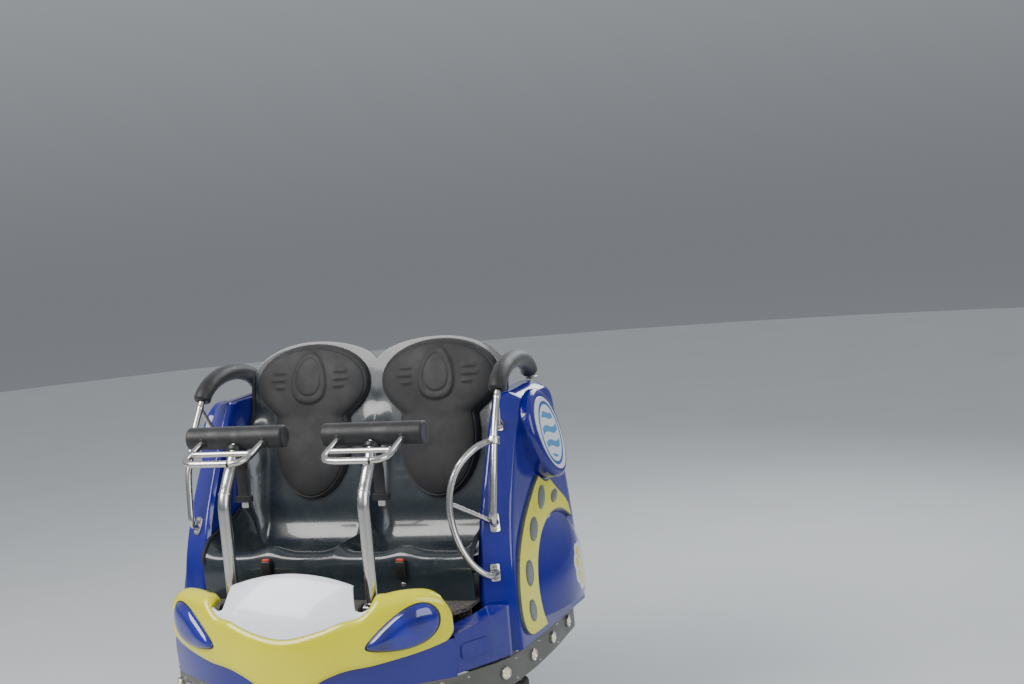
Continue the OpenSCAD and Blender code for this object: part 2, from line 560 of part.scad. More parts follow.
// The grip loop ahead of the roller: half its width, its reach, its bends, and its dip
grip_half = 118;
grip_reach = 200;
grip_r = 58;
grip_dip = 16;
grip_cross = 126;
module bar_x(y, z, d, l) translate([-l / 2, y, z]) rotate([0, 90, 0]) cylinder(h = l, d = d);
module post_upper(d, from, to) translate([0, lap_y, post_top]) rotate([-lean, 0, 0])
    translate([0, 0, from]) cylinder(h = to - from, d = d);
module at_grip() translate([0, roller_y, roller_z]) rotate([grip_dip, 0, 0]) children();
module grip_legs(d) at_grip() for (x = [-grip_half, grip_half])
    translate([x, 0, 0]) rotate([90, 0, 0]) cylinder(h = grip_reach - grip_r, d = d);
module lap_bar() color(steel) difference() {
    union() {
        bar_x(lap_y, lap_z, hub_d, hub_l);
        translate([0, lap_y, lap_z]) cylinder(h = post_top - bend_l - lap_z, d = post_d);
        translate([0, lap_y + post_bend, post_top - bend_l]) rotate([90, 0, -90])
            rotate_extrude(angle = lean) translate([post_bend, 0]) circle(d = post_d);
        post_upper(post_d, bend_l, reach_l);
        post_upper(post_d + 1.6, bend_l - 3, bend_l + 3);
        bar_x(roller_y, roller_z, core_d, core_l);
        grip_legs(rail_d);
        at_grip() {
            for (m = [0, 1]) mirror([m, 0, 0]) translate([grip_half - grip_r, grip_r - grip_reach, 0])
                rotate([0, 0, -90]) rotate_extrude(angle = 90) translate([grip_r, 0]) circle(d = rail_d);
            bar_x(-grip_reach, 0, rail_d, 2 * (grip_half - grip_r));
            bar_x(-grip_cross, 0, rail_d - 4, 2 * grip_half);
        }
    }
    bar_x(lap_y, lap_z, hinge_pin_d + 2 * fit, hub_l + 2);
}
module lap_foam() color(black) difference() {
    bar_x(roller_y, roller_z, roller_d, roller_l);
    bar_x(roller_y, roller_z, core_d + 2 * fit, core_l + 2 * fit);
    post_upper(post_d + 2 * fit, bend_l, reach_l + fit);
    grip_legs(rail_d + 2 * fit);
}
// Belt hanging from the roller behind the post, with its latch holder and tongue
belt_w = 40;
belt_t = 4;
belt_end = 980;
holder = [60, 16, 24];
tongue = [26, 3, 20];
module belt() color(black) translate([0, roller_y + belt_t, 0]) {
    translate([-belt_w / 2, -belt_t, belt_end + tongue[2] + holder[2]])
        cube([belt_w, belt_t, roller_z - roller_d / 2 - fit - belt_end - tongue[2] - holder[2]]);
    translate([-holder[0] / 2, -belt_t, belt_end + tongue[2]]) cube(holder);
    translate([-tongue[0] / 2, -belt_t + 4, belt_end]) cube(tongue);
}
module lap_bar_left() in_body() translate([-seat_half, 0, 0]) lap_bar();
module lap_bar_right() in_body() translate([seat_half, 0, 0]) lap_bar();
module lap_foam_left() in_body() translate([-seat_half, 0, 0]) lap_foam();
module lap_foam_right() in_body() translate([seat_half, 0, 0]) lap_foam();
module belt_left() in_body() translate([-seat_half, 0, 0]) belt();
module belt_right() in_body() translate([seat_half, 0, 0]) belt();
// Hinge brackets on the footwell floor, with their pins
ear_gap = 6;
ear_t = 10;
module lap_hinges() color(dark) in_body() each_seat() {
    for (x = [-hub_l / 2 - ear_gap - ear_t, hub_l / 2 + ear_gap]) {
        translate([x, lap_y - hub_d / 2, floor_z]) cube([ear_t, hub_d, lap_z - floor_z]);
        translate([x, lap_y, lap_z]) rotate([0, 90, 0]) cylinder(h = ear_t, d = hub_d);
    }
    bar_x(lap_y, lap_z, hinge_pin_d, hub_l + 2 * ear_gap + ear_t);
}
// Belt buckles on the front of the seat, below the lip
buckle = [38, 22, 70];
module belt_buckles() color(black) in_body() each_seat()
    translate([-buckle[0] / 2, seat_rows[0][0] - buckle[1], lip_z - 12 - buckle[2]]) cube(buckle);

// Chassis: spine, cross members, steering pin and the rear hitch eye
spine_w = 100;
spine_h = 88;
spine_z = deck_z - spine_h;
cross_y = [-90, 360];
cross_w = 60;
cross_h = 40;
function plan_x(y) = lookup(y, [for (p = half_plan) [p[1], p[0]]]);
function cross_half(y) = min(plan_x(y - cross_w / 2), plan_x(y + cross_w / 2))
    - skirt_t - 2 * fit;
eye_r = 30;
eye_h = 40;
eye_neck = 50;
spine_nose = 60;
hitch_y = tail_y - eye_r;
hitch_z = spine_z + spine_h / 2;
beam_h = 60;
beam_top = spine_z - 8;
module chassis() color(dark) in_body() difference() {
    union() {
        translate([-spine_w / 2, front_axle_y - spine_nose, spine_z])
            cube([spine_w, hitch_y - eye_neck - front_axle_y + spine_nose, spine_h]);
        for (y = cross_y) translate([-cross_half(y), y - cross_w / 2, deck_z - cross_h])
            cube([2 * cross_half(y), cross_w, cross_h]);
        translate([-eye_r + 8, hitch_y - eye_neck, hitch_z - eye_h / 2]) cube([2 * eye_r - 16, eye_neck, eye_h]);
        translate([0, hitch_y, hitch_z - eye_h / 2]) cylinder(h = eye_h, r = eye_r);
        translate([0, front_axle_y, beam_top + fit]) cylinder(h = spine_z - beam_top, d = 2 * king_d);
        translate([0, front_axle_y, beam_top - beam_h - 14]) cylinder(h = beam_h + 14 + 20, d = king_d);
        translate([0, front_axle_y, beam_top - beam_h - 14]) cylinder(h = 14 - fit, d = king_d + 20);
    }
    translate([0, hitch_y, hitch_z - eye_h]) cylinder(h = 2 * eye_h, d = hitch_d);
}
fin_t = 12;
fin_h = 120;
module drive_fin() color(steel) in_body() translate([-fin_t / 2, cross_y[0], spine_z - fin_h])
    cube([fin_t, cross_y[1] + cross_w - cross_y[0], fin_h]);

// Axle beams, which end this far inside the rails
wheel_room = 60;
beam_half = gauge / 2 - wheel_room;
beam_w = 80;
module beam(y, top) translate([-beam_half, y - beam_w / 2, beam_top - beam_h])
    cube([2 * beam_half, beam_w, top - beam_top + beam_h]);
module rear_axle() color(dark) in_body() beam(rear_axle_y, spine_z);
module front_axle() color(dark) in_body() difference() {
    union() {
        beam(front_axle_y, beam_top);
        translate([0, front_axle_y, beam_top - beam_h]) cylinder(h = beam_h, d = 2 * king_d + 20);
    }
    translate([0, front_axle_y, beam_top - beam_h - 1]) cylinder(h = beam_h + 2, d = king_d + 2 * fit);
}

// Wheel carriers at a beam's ends, each holding a running, a guide and an under-rail wheel.
// dir is the side of the beam on which the guide wheel runs
bogie_in = beam_half;
cheek_t = 12;
outer_x = gauge / 2 + track_d / 2 + 7;
outer_t = 14;
outer_w = 80;
guide_x = gauge / 2 + track_d / 2 + rail_gap + guide_d / 2;
guide_off = 112;
arm_z = track_z + small_w / 2 + 6;
arm_t = 14;
side_gap = 5;
module pin_x(x0, x1, y, z, d) translate([x0, y, z]) rotate([0, 90, 0]) cylinder(h = x1 - x0, d = d);
module bogies(y, dir) color(dark) in_body() both_sides() {
    translate([bogie_in, y - 45, run_z - 45]) cube([cheek_t, 90, 85]);
    pin_x(bogie_in + cheek_t / 2, outer_x + outer_t / 2, y, run_z, axle_d);
    translate([outer_x, y - outer_w / 2, 30]) cube([outer_t, outer_w, run_z - 10]);
    pin_x(gauge / 2 - small_w / 2 - 4, outer_x + outer_t / 2, y, under_d / 2, axle_d);
    translate([outer_x, min(y, y + dir * (guide_off + 25)), arm_z])
        cube([guide_x + 25 - outer_x, guide_off + 25, arm_t]);
    translate([guide_x, y + dir * guide_off, track_z - small_w / 2 - 4])
        cylinder(h = arm_z - track_z + small_w / 2 + 8, d = axle_d);
}
module rear_bogies() bogies(rear_axle_y, -1);
module front_bogies() bogies(front_axle_y, 1);

// A wheel with its tread band, turned round its own axis Z
wheel_edge = 5;
hub_out = 3;
module wheel(d, w) rotate_extrude() {
    polygon([[axle_d / 2 + fit, -w / 2 - hub_out], [axle_d / 2 + 12, -w / 2 - hub_out], [axle_d / 2 + 14, -w / 2 + 6],
        [d / 2 - 22, -w / 2 + 6], [d / 2 - 18, -w / 2], [d / 2 - wheel_edge, -w / 2], [d / 2, -w / 2 + wheel_edge],
        [d / 2, w / 2 - wheel_edge], [d / 2 - wheel_edge, w / 2], [d / 2 - 18, w / 2], [d / 2 - 22, w / 2 - 6],
        [axle_d / 2 + 14, w / 2 - 6], [axle_d / 2 + 12, w / 2 + hub_out], [axle_d / 2 + fit, w / 2 + hub_out]]);
}
module run_wheel(side, y) color(black) in_body() translate([side * gauge / 2, y, run_z]) rotate([0, 90, 0]) wheel(run_d, run_w);
module guide_wheel(side, y) color(black) in_body() translate([side * guide_x, y, track_z]) wheel(guide_d, small_w);
module under_wheel(side, y) color(black) in_body() translate([side * gauge / 2, y, under_d / 2]) rotate([0, 90, 0])
    wheel(under_d, small_w);
module run_wheel_fl() run_wheel(-1, front_axle_y);
module run_wheel_fr() run_wheel(1, front_axle_y);
module run_wheel_rl() run_wheel(-1, rear_axle_y);
module run_wheel_rr() run_wheel(1, rear_axle_y);
module guide_wheel_fl() guide_wheel(-1, front_axle_y + guide_off);
module guide_wheel_fr() guide_wheel(1, front_axle_y + guide_off);
module guide_wheel_rl() guide_wheel(-1, rear_axle_y - guide_off);
module guide_wheel_rr() guide_wheel(1, rear_axle_y - guide_off);
module under_wheel_fl() under_wheel(-1, front_axle_y);
module under_wheel_fr() under_wheel(1, front_axle_y);
module under_wheel_rl() under_wheel(-1, rear_axle_y);
module under_wheel_rr() under_wheel(1, rear_axle_y);

chassis();
floor_tub();
sills();
seat_frame();
seat_shell();
seat_pads();
side_shields();
side_bands();
band_spots();
side_domes();
side_pods();
pod_plates();
nose_body();
nose_mask();
nose_lenses();
hood();
skirts();
lamps();
grab_rails();
grab_foams();
side_loop();
belt_buckles();
lap_hinges();
rear_axle();
rear_bogies();
drive_fin();
front_axle();
front_bogies();
lap_bar_left();
lap_foam_left();
belt_left();
lap_bar_right();
lap_foam_right();
belt_right();
run_wheel_fl();
run_wheel_fr();
run_wheel_rl();
run_wheel_rr();
guide_wheel_fl();
guide_wheel_fr();
guide_wheel_rl();
guide_wheel_rr();
under_wheel_fl();
under_wheel_fr();
under_wheel_rl();
under_wheel_rr();
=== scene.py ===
import math
import bpy
import numpy as np
from mathutils import Matrix, Vector


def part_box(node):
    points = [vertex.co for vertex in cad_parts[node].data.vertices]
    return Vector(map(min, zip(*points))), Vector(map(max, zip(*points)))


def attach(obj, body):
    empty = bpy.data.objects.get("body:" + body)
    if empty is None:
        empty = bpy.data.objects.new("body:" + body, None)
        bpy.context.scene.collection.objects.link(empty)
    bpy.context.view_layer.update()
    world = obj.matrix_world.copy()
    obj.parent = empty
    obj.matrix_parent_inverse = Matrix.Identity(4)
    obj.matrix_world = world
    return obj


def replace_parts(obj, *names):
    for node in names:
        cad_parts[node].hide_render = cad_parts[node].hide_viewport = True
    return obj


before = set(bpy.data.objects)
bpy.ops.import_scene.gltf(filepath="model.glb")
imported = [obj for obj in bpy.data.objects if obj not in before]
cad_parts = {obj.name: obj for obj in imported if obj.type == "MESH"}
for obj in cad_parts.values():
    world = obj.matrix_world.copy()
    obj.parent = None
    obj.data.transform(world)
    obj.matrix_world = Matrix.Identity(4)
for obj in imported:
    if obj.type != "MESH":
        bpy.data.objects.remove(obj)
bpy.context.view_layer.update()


# Steel frame under the floor: a welded box spine with cross members, the tubes behind the seats, the
# axle beams and the wheel carriers. Mild steel sprayed with dark chassis paint, dusty where it faces up
# and rubbed bright on its edges. The CAD solids stay, with their edges rounded by the finish.
def put(tree, kind, settings=None, **inputs):
    """Places a shader node. settings are its own choices; inputs are sockets by name, or i and a number."""
    made = tree.nodes.new("ShaderNode" + kind)
    for name, value in (settings or {}).items():
        setattr(made, name, value)
    for name, value in inputs.items():
        socket = made.inputs[int(name[1:]) if name[1:].isdigit() else name.replace("_", " ")]
        if isinstance(value, bpy.types.NodeSocket):
            tree.links.new(value, socket)
        else:
            socket.default_value = value
    return made


def maths(tree, operation, a, b=0.5, c=0.5):
    """One arithmetic step on up to three values."""
    return put(tree, "Math", {"operation": operation}, i0=a, i1=b, i2=c).outputs[0]


def step(tree, value, low, high, start=0.0, end=1.0):
    """start below low, end above high, and a smooth step between them."""
    return put(tree, "MapRange", {"interpolation_type": "SMOOTHSTEP"}, Value=value, From_Min=low,
               From_Max=high, To_Min=start, To_Max=end).outputs["Result"]


def place_of(tree):
    """The object's own coordinates."""
    return put(tree, "TexCoord").outputs["Object"]


def noise(tree, place, scale, detail=3.0, roughness=0.5):
    """Cloudy noise on an object's own coordinates, around one half."""
    return put(tree, "TexNoise", Vector=place, Scale=scale, Detail=detail,
               Roughness=roughness).outputs["Fac"]


def colour(text):
    """A screen colour written as six hexadecimal digits, as the linear colour that a shader takes."""
    c = np.array([int(text[k:k + 2], 16) for k in (0, 2, 4)]) / 255
    return (*np.where(c < 0.04, c / 12.92, ((c + 0.055) / 1.055) ** 2.4), 1.0)


def darker(text, share):
    """The same colour with its three parts times share."""
    return (*[share * c for c in colour(text)[:3]], 1.0)


def between(tree, mask, a, b):
    """Colour a where mask is 0 and colour b where it is 1, each a text, a colour or a socket."""
    a, b = (colour(c) if isinstance(c, str) else c for c in (a, b))
    return put(tree, "Mix", {"data_type": "RGBA"}, i0=mask, i6=a, i7=b).outputs[2]


def product(tree, *values):
    """The values multiplied together."""
    made = values[0]
    for value in values[1:]:
        made = maths(tree, "MULTIPLY", made, value)
    return made


def scaled(tree, value, share, level):
    """value times share, plus level."""
    return maths(tree, "MULTIPLY_ADD", value, share, level)


def relief(tree, height, strength, distance, **start):
    """The normal that a height gives, on top of the start normal where there is one."""
    return put(tree, "Bump", Height=height, Strength=strength, Distance=distance, **start).outputs[0]


def feed(tree, sockets, **sources):
    """Links sources to sockets by name."""
    for name, source in sources.items():
        tree.links.new(source, sockets[name.replace("_", " ")])


def clouds(tree, scale, detail, low, high, roughness=0.5):
    """Noise on the object's own coordinates, 0 where it is below low and 1 where it is above high."""
    return step(tree, noise(tree, place_of(tree), scale, detail, roughness), low, high)


def effect(name, inputs, outputs):
    """An empty shader node group with named inputs and outputs, with its two end nodes' sockets."""
    tree = bpy.data.node_groups.new(name, "ShaderNodeTree")
    for label, value in inputs.items():
        socket = tree.interface.new_socket(label, in_out="INPUT", socket_type="NodeSocketFloat")
        socket.default_value = value
    for label, kind in outputs.items():
        tree.interface.new_socket(label, in_out="OUTPUT", socket_type="NodeSocket" + kind)
    return tree, tree.nodes.new("NodeGroupInput").outputs, tree.nodes.new("NodeGroupOutput").inputs


def use(tree, group, **values):
    """Places an effect in a material with its own values, and returns its outputs."""
    made = put(tree, "Group", {"node_tree": group})
    for name, value in values.items():
        made.inputs[name].default_value = value
    return made.outputs


def finish(name, **constants):
    """A material with one Principled shader. Values that don't change are set on its sockets."""
    made = bpy.data.materials.new(name)
    made.use_nodes = True
    tree = made.node_tree
    tree.nodes.clear()
    shader = put(tree, "BsdfPrincipled", **constants)
    put(tree, "OutputMaterial", Surface=shader.outputs[0])
    return made, tree, shader.inputs


# Rounded edge and where it is worn: the bevelled normal, and how far it turns from the flat one
soft_edge, given, made = effect("Soft edge", {"Radius": 0.002, "Wear": 0.5},
                                {"Normal": "Vector", "Worn": "Float"})
rounded_normal = put(soft_edge, "Bevel", {"samples": 4}, Radius=given["Radius"]).outputs[0]
flat_normal = put(soft_edge, "NewGeometry").outputs["Normal"]
turn = put(soft_edge, "VectorMath", {"operation": "DOT_PRODUCT"}, i0=rounded_normal, i1=flat_normal)
patchy = clouds(soft_edge, 55, 5, 0.42, 0.62)
edge = step(soft_edge, turn.outputs["Value"], 0.98, 0.8)
feed(soft_edge, made, Normal=rounded_normal, Worn=product(soft_edge, edge, patchy, given["Wear"]))

# Dust that settles where a surface faces up, in clouds
dust, given, made = effect("Dust", {"Amount": 0.5, "Scale": 9.0}, {"Mask": "Float"})
up = put(dust, "SeparateXYZ", Vector=put(dust, "NewGeometry").outputs["Normal"]).outputs["Z"]
cloud = step(dust, put(dust, "TexNoise", Vector=place_of(dust), Scale=given["Scale"], Detail=6.0,
                       Roughness=0.7).outputs["Fac"], 0.35, 0.7)
facing = scaled(dust, step(dust, up, -0.1, 0.9), 0.8, 0.2)
feed(dust, made, Mask=product(dust, cloud, facing, given["Amount"]))

# Fine grain of a sprayed or moulded surface: its height and a slow change of shade
grain, given, made = effect("Grain", {"Scale": 900.0}, {"Height": "Float", "Shade": "Float"})
fine = put(grain, "TexNoise", Vector=place_of(grain), Scale=given["Scale"], Detail=2.0).outputs["Fac"]
pores = put(grain, "TexVoronoi", Vector=place_of(grain), Scale=given["Scale"]).outputs["Distance"]
feed(grain, made, Height=scaled(grain, pores, 0.6, fine), Shade=noise(grain, place_of(grain), 7, 4))


def painted_steel(name, paint, bare="8a8c8e", radius=0.002, wear=0.8, dirt=0.5):
    """Sprayed steel: grain under the paint, dust on top, bare metal at the edges."""
    made, tree, shader = finish(name, Roughness=0.5, Coat_Weight=0.1, Coat_Roughness=0.4)
    speckle = use(tree, grain, Scale=650.0)
    edges = use(tree, soft_edge, Radius=radius, Wear=wear)
    settled = use(tree, dust, Amount=dirt, Scale=7.0)["Mask"]
    shade = between(tree, step(tree, speckle["Shade"], 0.3, 0.7), paint, darker(paint, 0.75))
    dirty = between(tree, settled, shade, "8b8478")
    feed(tree, shader, Base_Color=between(tree, edges["Worn"], dirty, bare), Metallic=edges["Worn"],
         Roughness=scaled(tree, settled, 0.4, 0.42),
         Normal=relief(tree, speckle["Height"], 0.25, 0.0006, Normal=edges["Normal"]))
    return made


def dress(finish_, *names):
    """CAD nodes take a finish in place of their own."""
    for name in names:
        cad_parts[name].data.materials.clear()
        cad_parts[name].data.materials.append(finish_)


chassis_paint = painted_steel("chassis_paint", "3c3f43")
carrier_paint = painted_steel("carrier_paint", "4a4e52", radius=0.003, dirt=0.7)
dress(chassis_paint, "chassis", "seat_frame", "lap_hinges")
dress(carrier_paint, "rear_axle", "front_axle", "rear_bogies", "front_bogies")


# Linear-motor fin: a bare alloy plate hanging from the spine, sawn and scuffed along its length.
def bare_metal(name, tint, rough, streak, radius=0.001):
    """Bare drawn or polished metal: fine scratches, stretched by the three numbers of streak."""
    made, tree, shader = finish(name, Metallic=1.0, Specular_IOR_Level=0.6)
    stretched = put(tree, "Mapping", Vector=place_of(tree), Scale=streak).outputs[0]
    lines = noise(tree, stretched, 60, 4, 0.6)
    hazy = clouds(tree, 11, 5, 0.35, 0.72)
    edges = use(tree, soft_edge, Radius=radius, Wear=0.0)
    feed(tree, shader, Base_Color=between(tree, hazy, tint, darker(tint, 0.86)),
         Roughness=scaled(tree, lines, 0.14, scaled(tree, hazy, 0.08, rough - 0.07)),
         Normal=relief(tree, lines, 0.08, 0.0003, Normal=edges["Normal"]))
    return made


stainless = bare_metal("stainless", "d6d3cf", 0.17, (6, 6, 1))
sawn_alloy = bare_metal("sawn_alloy", "b4b8ba", 0.36, (8, 1, 8))
dress(sawn_alloy, "drive_fin")


# Wheels: turned alloy hubs with a bearing cap and six screws, and a polyurethane tread cast on the rim.
# Two running wheels carry the load on each rail, guide wheels press on its outside, small wheels under it.
def surface(grid, around=False):
    """Quads over a grid of points, rows by columns; around joins the last column to the first."""
    rows, columns = grid.shape[:2]
    i = np.arange(rows - 1)[:, None] * columns
    j = np.arange(columns if around else columns - 1)[None]
    k = (j + 1) % columns
    faces = np.stack([i + j, i + k, i + columns + k, i + columns + j], -1)
    return grid.reshape(-1, 3), faces.reshape(-1, 4).tolist()


def basis(axis):
    """Three unit directions at right angles, the third along axis."""
    w = np.asarray(axis, float) / np.linalg.norm(axis)
    u = np.cross([1.0, 0, 0] if abs(w[0]) < 0.9 else [0, 1.0, 0], w)
    u /= np.linalg.norm(u)
    return np.array([u, np.cross(w, u), w])


def turned(profile, centre, axis, steps=32):
    """A profile of (radius, height) turned round an axis: centre + r (u cos t + v sin t) + h w."""
    r, h = np.array(profile, float).T[:, :, None, None]
    t = np.linspace(0, 2 * np.pi, steps, endpoint=False)[None, :, None]
    u, v, w = basis(axis)
    return surface(np.asarray(centre) + r * (np.cos(t) * u + np.sin(t) * v) + h * w, around=True)


def rounded_profile(corners, reach, steps=4):
    """Corners cut by quadratic bends a (1-t)^2 + q 2t(1-t) + b t^2, a and b on the straights beside q."""
    p = np.array(corners, float)
    q = p[1:-1]
    before, after = p[:-2] - q, p[2:] - q
    share_a = np.minimum(0.5, reach / np.linalg.norm(before, axis=1))[:, None]
    share_b = np.minimum(0.5, reach / np.linalg.norm(after, axis=1))[:, None]
    a, b = q + before * share_a, q + after * share_b
    t = np.linspace(0, 1, steps + 1)[None, :, None]
    bends = a[:, None] * (1 - t) ** 2 + q[:, None] * 2 * t * (1 - t) + b[:, None] * t * t
    path = np.concatenate([p[:1], bends.reshape(-1, p.shape[1]), p[-1:]])
    return path[np.r_[True, np.linalg.norm(np.diff(path, axis=0), axis=1) > 1e-6]]


def piece(name, parts, finishes, body="car_body", bevel=0.0, angle=38, smooth=True):
    """One mesh piece from parts, each its points, its faces and its finish's number. bevel rounds its
    edges."""
    points, faces, marks, count = [], [], [], 0
    for part in parts:
        points.append(np.asarray(part[0], float).reshape(-1, 3))
        faces += [[k + count for k in face] for face in part[1]]
        marks += [part[2] if len(part) > 2 else 0] * len(part[1])
        count += len(points[-1])
    mesh = bpy.data.meshes.new(name)
    mesh.from_pydata(np.concatenate(points).tolist(), [], faces)
    mesh.polygons.foreach_set("material_index", marks)
    mesh.polygons.foreach_set("use_smooth", [smooth] * len(faces))
    for one in finishes:
        mesh.materials.append(one)
    mesh.validate()
    made = bpy.data.objects.new(name, mesh)
    bpy.context.scene.collection.objects.link(made)
    if bevel:
        edges = made.modifiers.new("edges", "BEVEL")
        edges.width, edges.segments, edges.angle_limit = bevel, 2, math.radians(angle)
        made.modifiers.new("shading", "WEIGHTED_NORMAL")
    else:
        mesh.set_sharp_from_angle(angle=math.radians(angle))
    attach(made, body)
    return made


def button_screw(centre, axis, d):
    """A washer and a low domed head with a socket in it."""
    r = d / 2
    profile = [(0, 0), (r, 0), (r, 0.12 * d), (0.78 * r, 0.14 * d), (0.76 * r, 0.3 * d), (0.6 * r, 0.46 * d),
               (0.36 * r, 0.5 * d), (0.33 * r, 0.3 * d), (0, 0.28 * d)]
    return turned(profile, centre, axis, 18)


tread, tree, shader = finish("wheel_tread", Specular_IOR_Level=0.35)
grey = clouds(tree, 38, 6, 0.4, 0.68, 0.65)
feed(tree, shader, Base_Color=between(tree, grey, "2a2724", "55504a"),
     Roughness=scaled(tree, grey, 0.25, 0.45),
     Normal=relief(tree, use(tree, grain, Scale=420.0)["Height"], 0.3, 0.0008))
turned_alloy = bare_metal("turned_alloy", "a9abad", 0.3, (2, 2, 2))
cap_paint = painted_steel("cap_paint", "2b2d30", wear=0.4, dirt=0.3)


def wheel(name, d, w, centre, axis):
    """A tread ring crowned at its corners, a dished hub with a raised boss, and a cap and screws on each
    side."""
    r, h = d / 2, w / 2
    rim, boss, bore = r - 0.018, 0.0265, 0.013
    tread_half = [(rim, -h + 0.001), (r - 0.004, -h), (r, -h + 0.006)]
    hub_half = [(bore, -h - 0.003), (boss - 0.002, -h - 0.003), (boss, -h + 0.006),
                (rim - 0.006, -h + 0.006), (rim - 0.002, -h + 0.001), (rim, -h + 0.001)]
    other = [[(x, -y) for x, y in reversed(half)] for half in (tread_half, hub_half)]
    ring = rounded_profile([*tread_half, (r, 0), *other[0]], 0.005)
    hub = rounded_profile([*hub_half, *other[1]], 0.002, 3)
    parts = [(*turned(ring, centre, axis, 72), 0), (*turned(hub, centre, axis, 72), 1)]
    u, v, out = basis(axis)
    for side in (-1, 1):
        face = np.asarray(centre) + side * (h + 0.0028) * out
        cap = [(0, 0), (0.022, 0), (0.021, 0.0012), (0.014, 0.0022), (0, 0.0024)]
        parts.append((*turned(cap, face, side * out, 36), 2))
        for t in np.radians(60 * np.arange(6) + 15):
            place = centre + side * (h - 0.006) * out + 0.5 * (rim + boss) * (np.cos(t) * u + np.sin(t) * v)
            parts.append((*button_screw(place, side * out, min(0.011, (rim - boss) * 0.5)), 1))
    made = piece(name, parts, [tread, turned_alloy, cap_paint], body=name.replace("_wheel", ""),
                 angle=50)
    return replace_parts(made, name)


for name in [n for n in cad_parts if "_wheel_" in n]:
    low, high = (np.array(corner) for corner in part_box(name))
    size = high - low
    axis = [1.0, 0, 0] if name[:5] != "guide" else [0, 0, 1.0]
    across = size[0] if axis[0] else size[2]
    wheel(name, size[1], across - 0.006, (low + high) / 2, axis)


# Floor of the car: steel deck, risers and the footwell plate, which has a dark grit paint with light and
# dark specks for grip.
grit, tree, shader = finish("grit_paint", Roughness=0.8, Specular_IOR_Level=0.3)
cells = put(tree, "TexVoronoi", Vector=place_of(tree), Scale=260.0)
specks = put(tree, "SeparateColor", Color=cells.outputs["Color"])
light = maths(tree, "GREATER_THAN", specks.outputs[0], 0.8)
dark = maths(tree, "GREATER_THAN", specks.outputs[1], 0.72)
walked = use(tree, dust, Amount=0.45, Scale=5.0)["Mask"]
base = between(tree, dark, between(tree, light, "4c4a48", "85817c"), "26262a")
raised = scaled(tree, cells.outputs["Distance"], -0.6, noise(tree, place_of(tree), 300, 3))
feed(tree, shader, Base_Color=between(tree, walked, base, "746c62"),
     Normal=relief(tree, raised, 0.6, 0.0012))
dress(grit, "floor_tub")


# Nose: blue lower body, the yellow mask with its two raised ears, blue tear-drop lenses and the white
# hood. All are hand-laid fibreglass about 10 mm thick, pigmented gelcoat outside, polished and waxed.
# The nose surface is a parabola in plan: x = half width sin a, y = -back - reach cos^2 a.
nose_w, nose_l, nose_back, tail_y = 1.050, 0.222, 0.290, 0.800
deck_z, mask_h, panel_t = 0.428, 0.012, 0.010
# What the body's own lengthwise measures are shifted by, so that the car's middle is at 0
body_y = (nose_back + nose_l + mask_h - tail_y) / 2


def smooth_table(x, table, column):
    """A cubic through a table's points: each slope is the mean of the slopes beside the point."""
    xs, ys = np.array(table, float)[:, 0], np.array(table, float)[:, column]
    slope = np.gradient(ys, xs)
    i = np.clip(np.searchsorted(xs, x) - 1, 0, len(xs) - 2)
    h = xs[i + 1] - xs[i]
    t = np.clip((x - xs[i]) / h, 0, 1)
    return ((1 + 2 * t) * (1 - t) ** 2 * ys[i] + t * (1 - t) ** 2 * h * slope[i]
            + t * t * (3 - 2 * t) * ys[i + 1] + t * t * (t - 1) * h * slope[i + 1])


def ease(t):
    """A smooth step from 0 to 1."""
    t = np.clip(t, 0, 1)
    return t * t * (3 - 2 * t)


# Columns: height, change of half width, change of reach
nose_rows = [[deck_z, 0, 0], [0.5, 0.002, 0], [0.61, 0, -0.009], [0.69, -0.004, -0.022],
             [0.74, -0.008, -0.04]]
ear_end, ear_end_r = 73, 0.024


def nose_surface(a, z, out, end=90):
    """The point at angle a (degrees) and height z, out along the level normal. Past the end angle the
    curve turns in on a radius of 24 mm, by 4 degrees for each degree."""
    a, z = np.broadcast_arrays(np.asarray(a, float), z)
    wide = nose_w / 2 + smooth_table(z, nose_rows, 1)
    reach = nose_l + smooth_table(z, nose_rows, 2)
    g = np.radians(np.minimum(end, np.abs(a)))
    n = np.stack([2 * reach * np.sin(g) / wide, -np.ones_like(g)], -1)
    n /= np.linalg.norm(n, axis=-1, keepdims=True)
    turn = np.radians(4 * np.maximum(0, np.abs(a) - end))
    m = np.stack([n[..., 0] * np.cos(turn) - n[..., 1] * np.sin(turn),
                  n[..., 0] * np.sin(turn) + n[..., 1] * np.cos(turn)], -1)
    x = wide * np.sin(g) + ear_end_r * (m - n)[..., 0] + out * m[..., 0]
    y = -nose_back - reach * np.cos(g) ** 2 + ear_end_r * (m - n)[..., 1] + out * m[..., 1]
    return np.stack([np.where(a < 0, -x, x), y + body_y, z], -1)


def wall(outer, inner):
    """A closed wall between two grids of points seen from outside the outer one."""
    points, front = surface(outer)
    back = [[k + len(points) for k in reversed(face)] for face in front]
    rows, columns = outer.shape[:2]
    ring = np.concatenate([np.arange(columns), columns * np.arange(1, rows) + columns - 1,
                           (rows - 1) * columns + np.arange(columns - 2, -1, -1),
                           columns * np.arange(rows - 2, 0, -1)]).tolist()
    rim = [[p, p + len(points), q + len(points), q] for p, q in zip(ring, ring[1:] + ring[:1])]
    return np.concatenate([points, inner.reshape(-1, 3)]), front + back + rim


# The mask's edges. Columns: angle, height of the lower edge, height of the upper edge
mask_rows = [[-12, 0.460, 0.627], [0, 0.452, 0.609], [12, 0.460, 0.627], [15, 0.474, 0.634],
             [22, 0.497, 0.655], [34, 0.510, 0.693], [36.5, 0.513, 0.722], [42, 0.520, 0.731],
             [54, 0.534, 0.735], [67, 0.550, 0.722], [ear_end, 0.557, 0.706], [77, 0.563, 0.697],
             [81, 0.569, 0.687], [85, 0.576, 0.675], [89, 0.584, 0.662]]


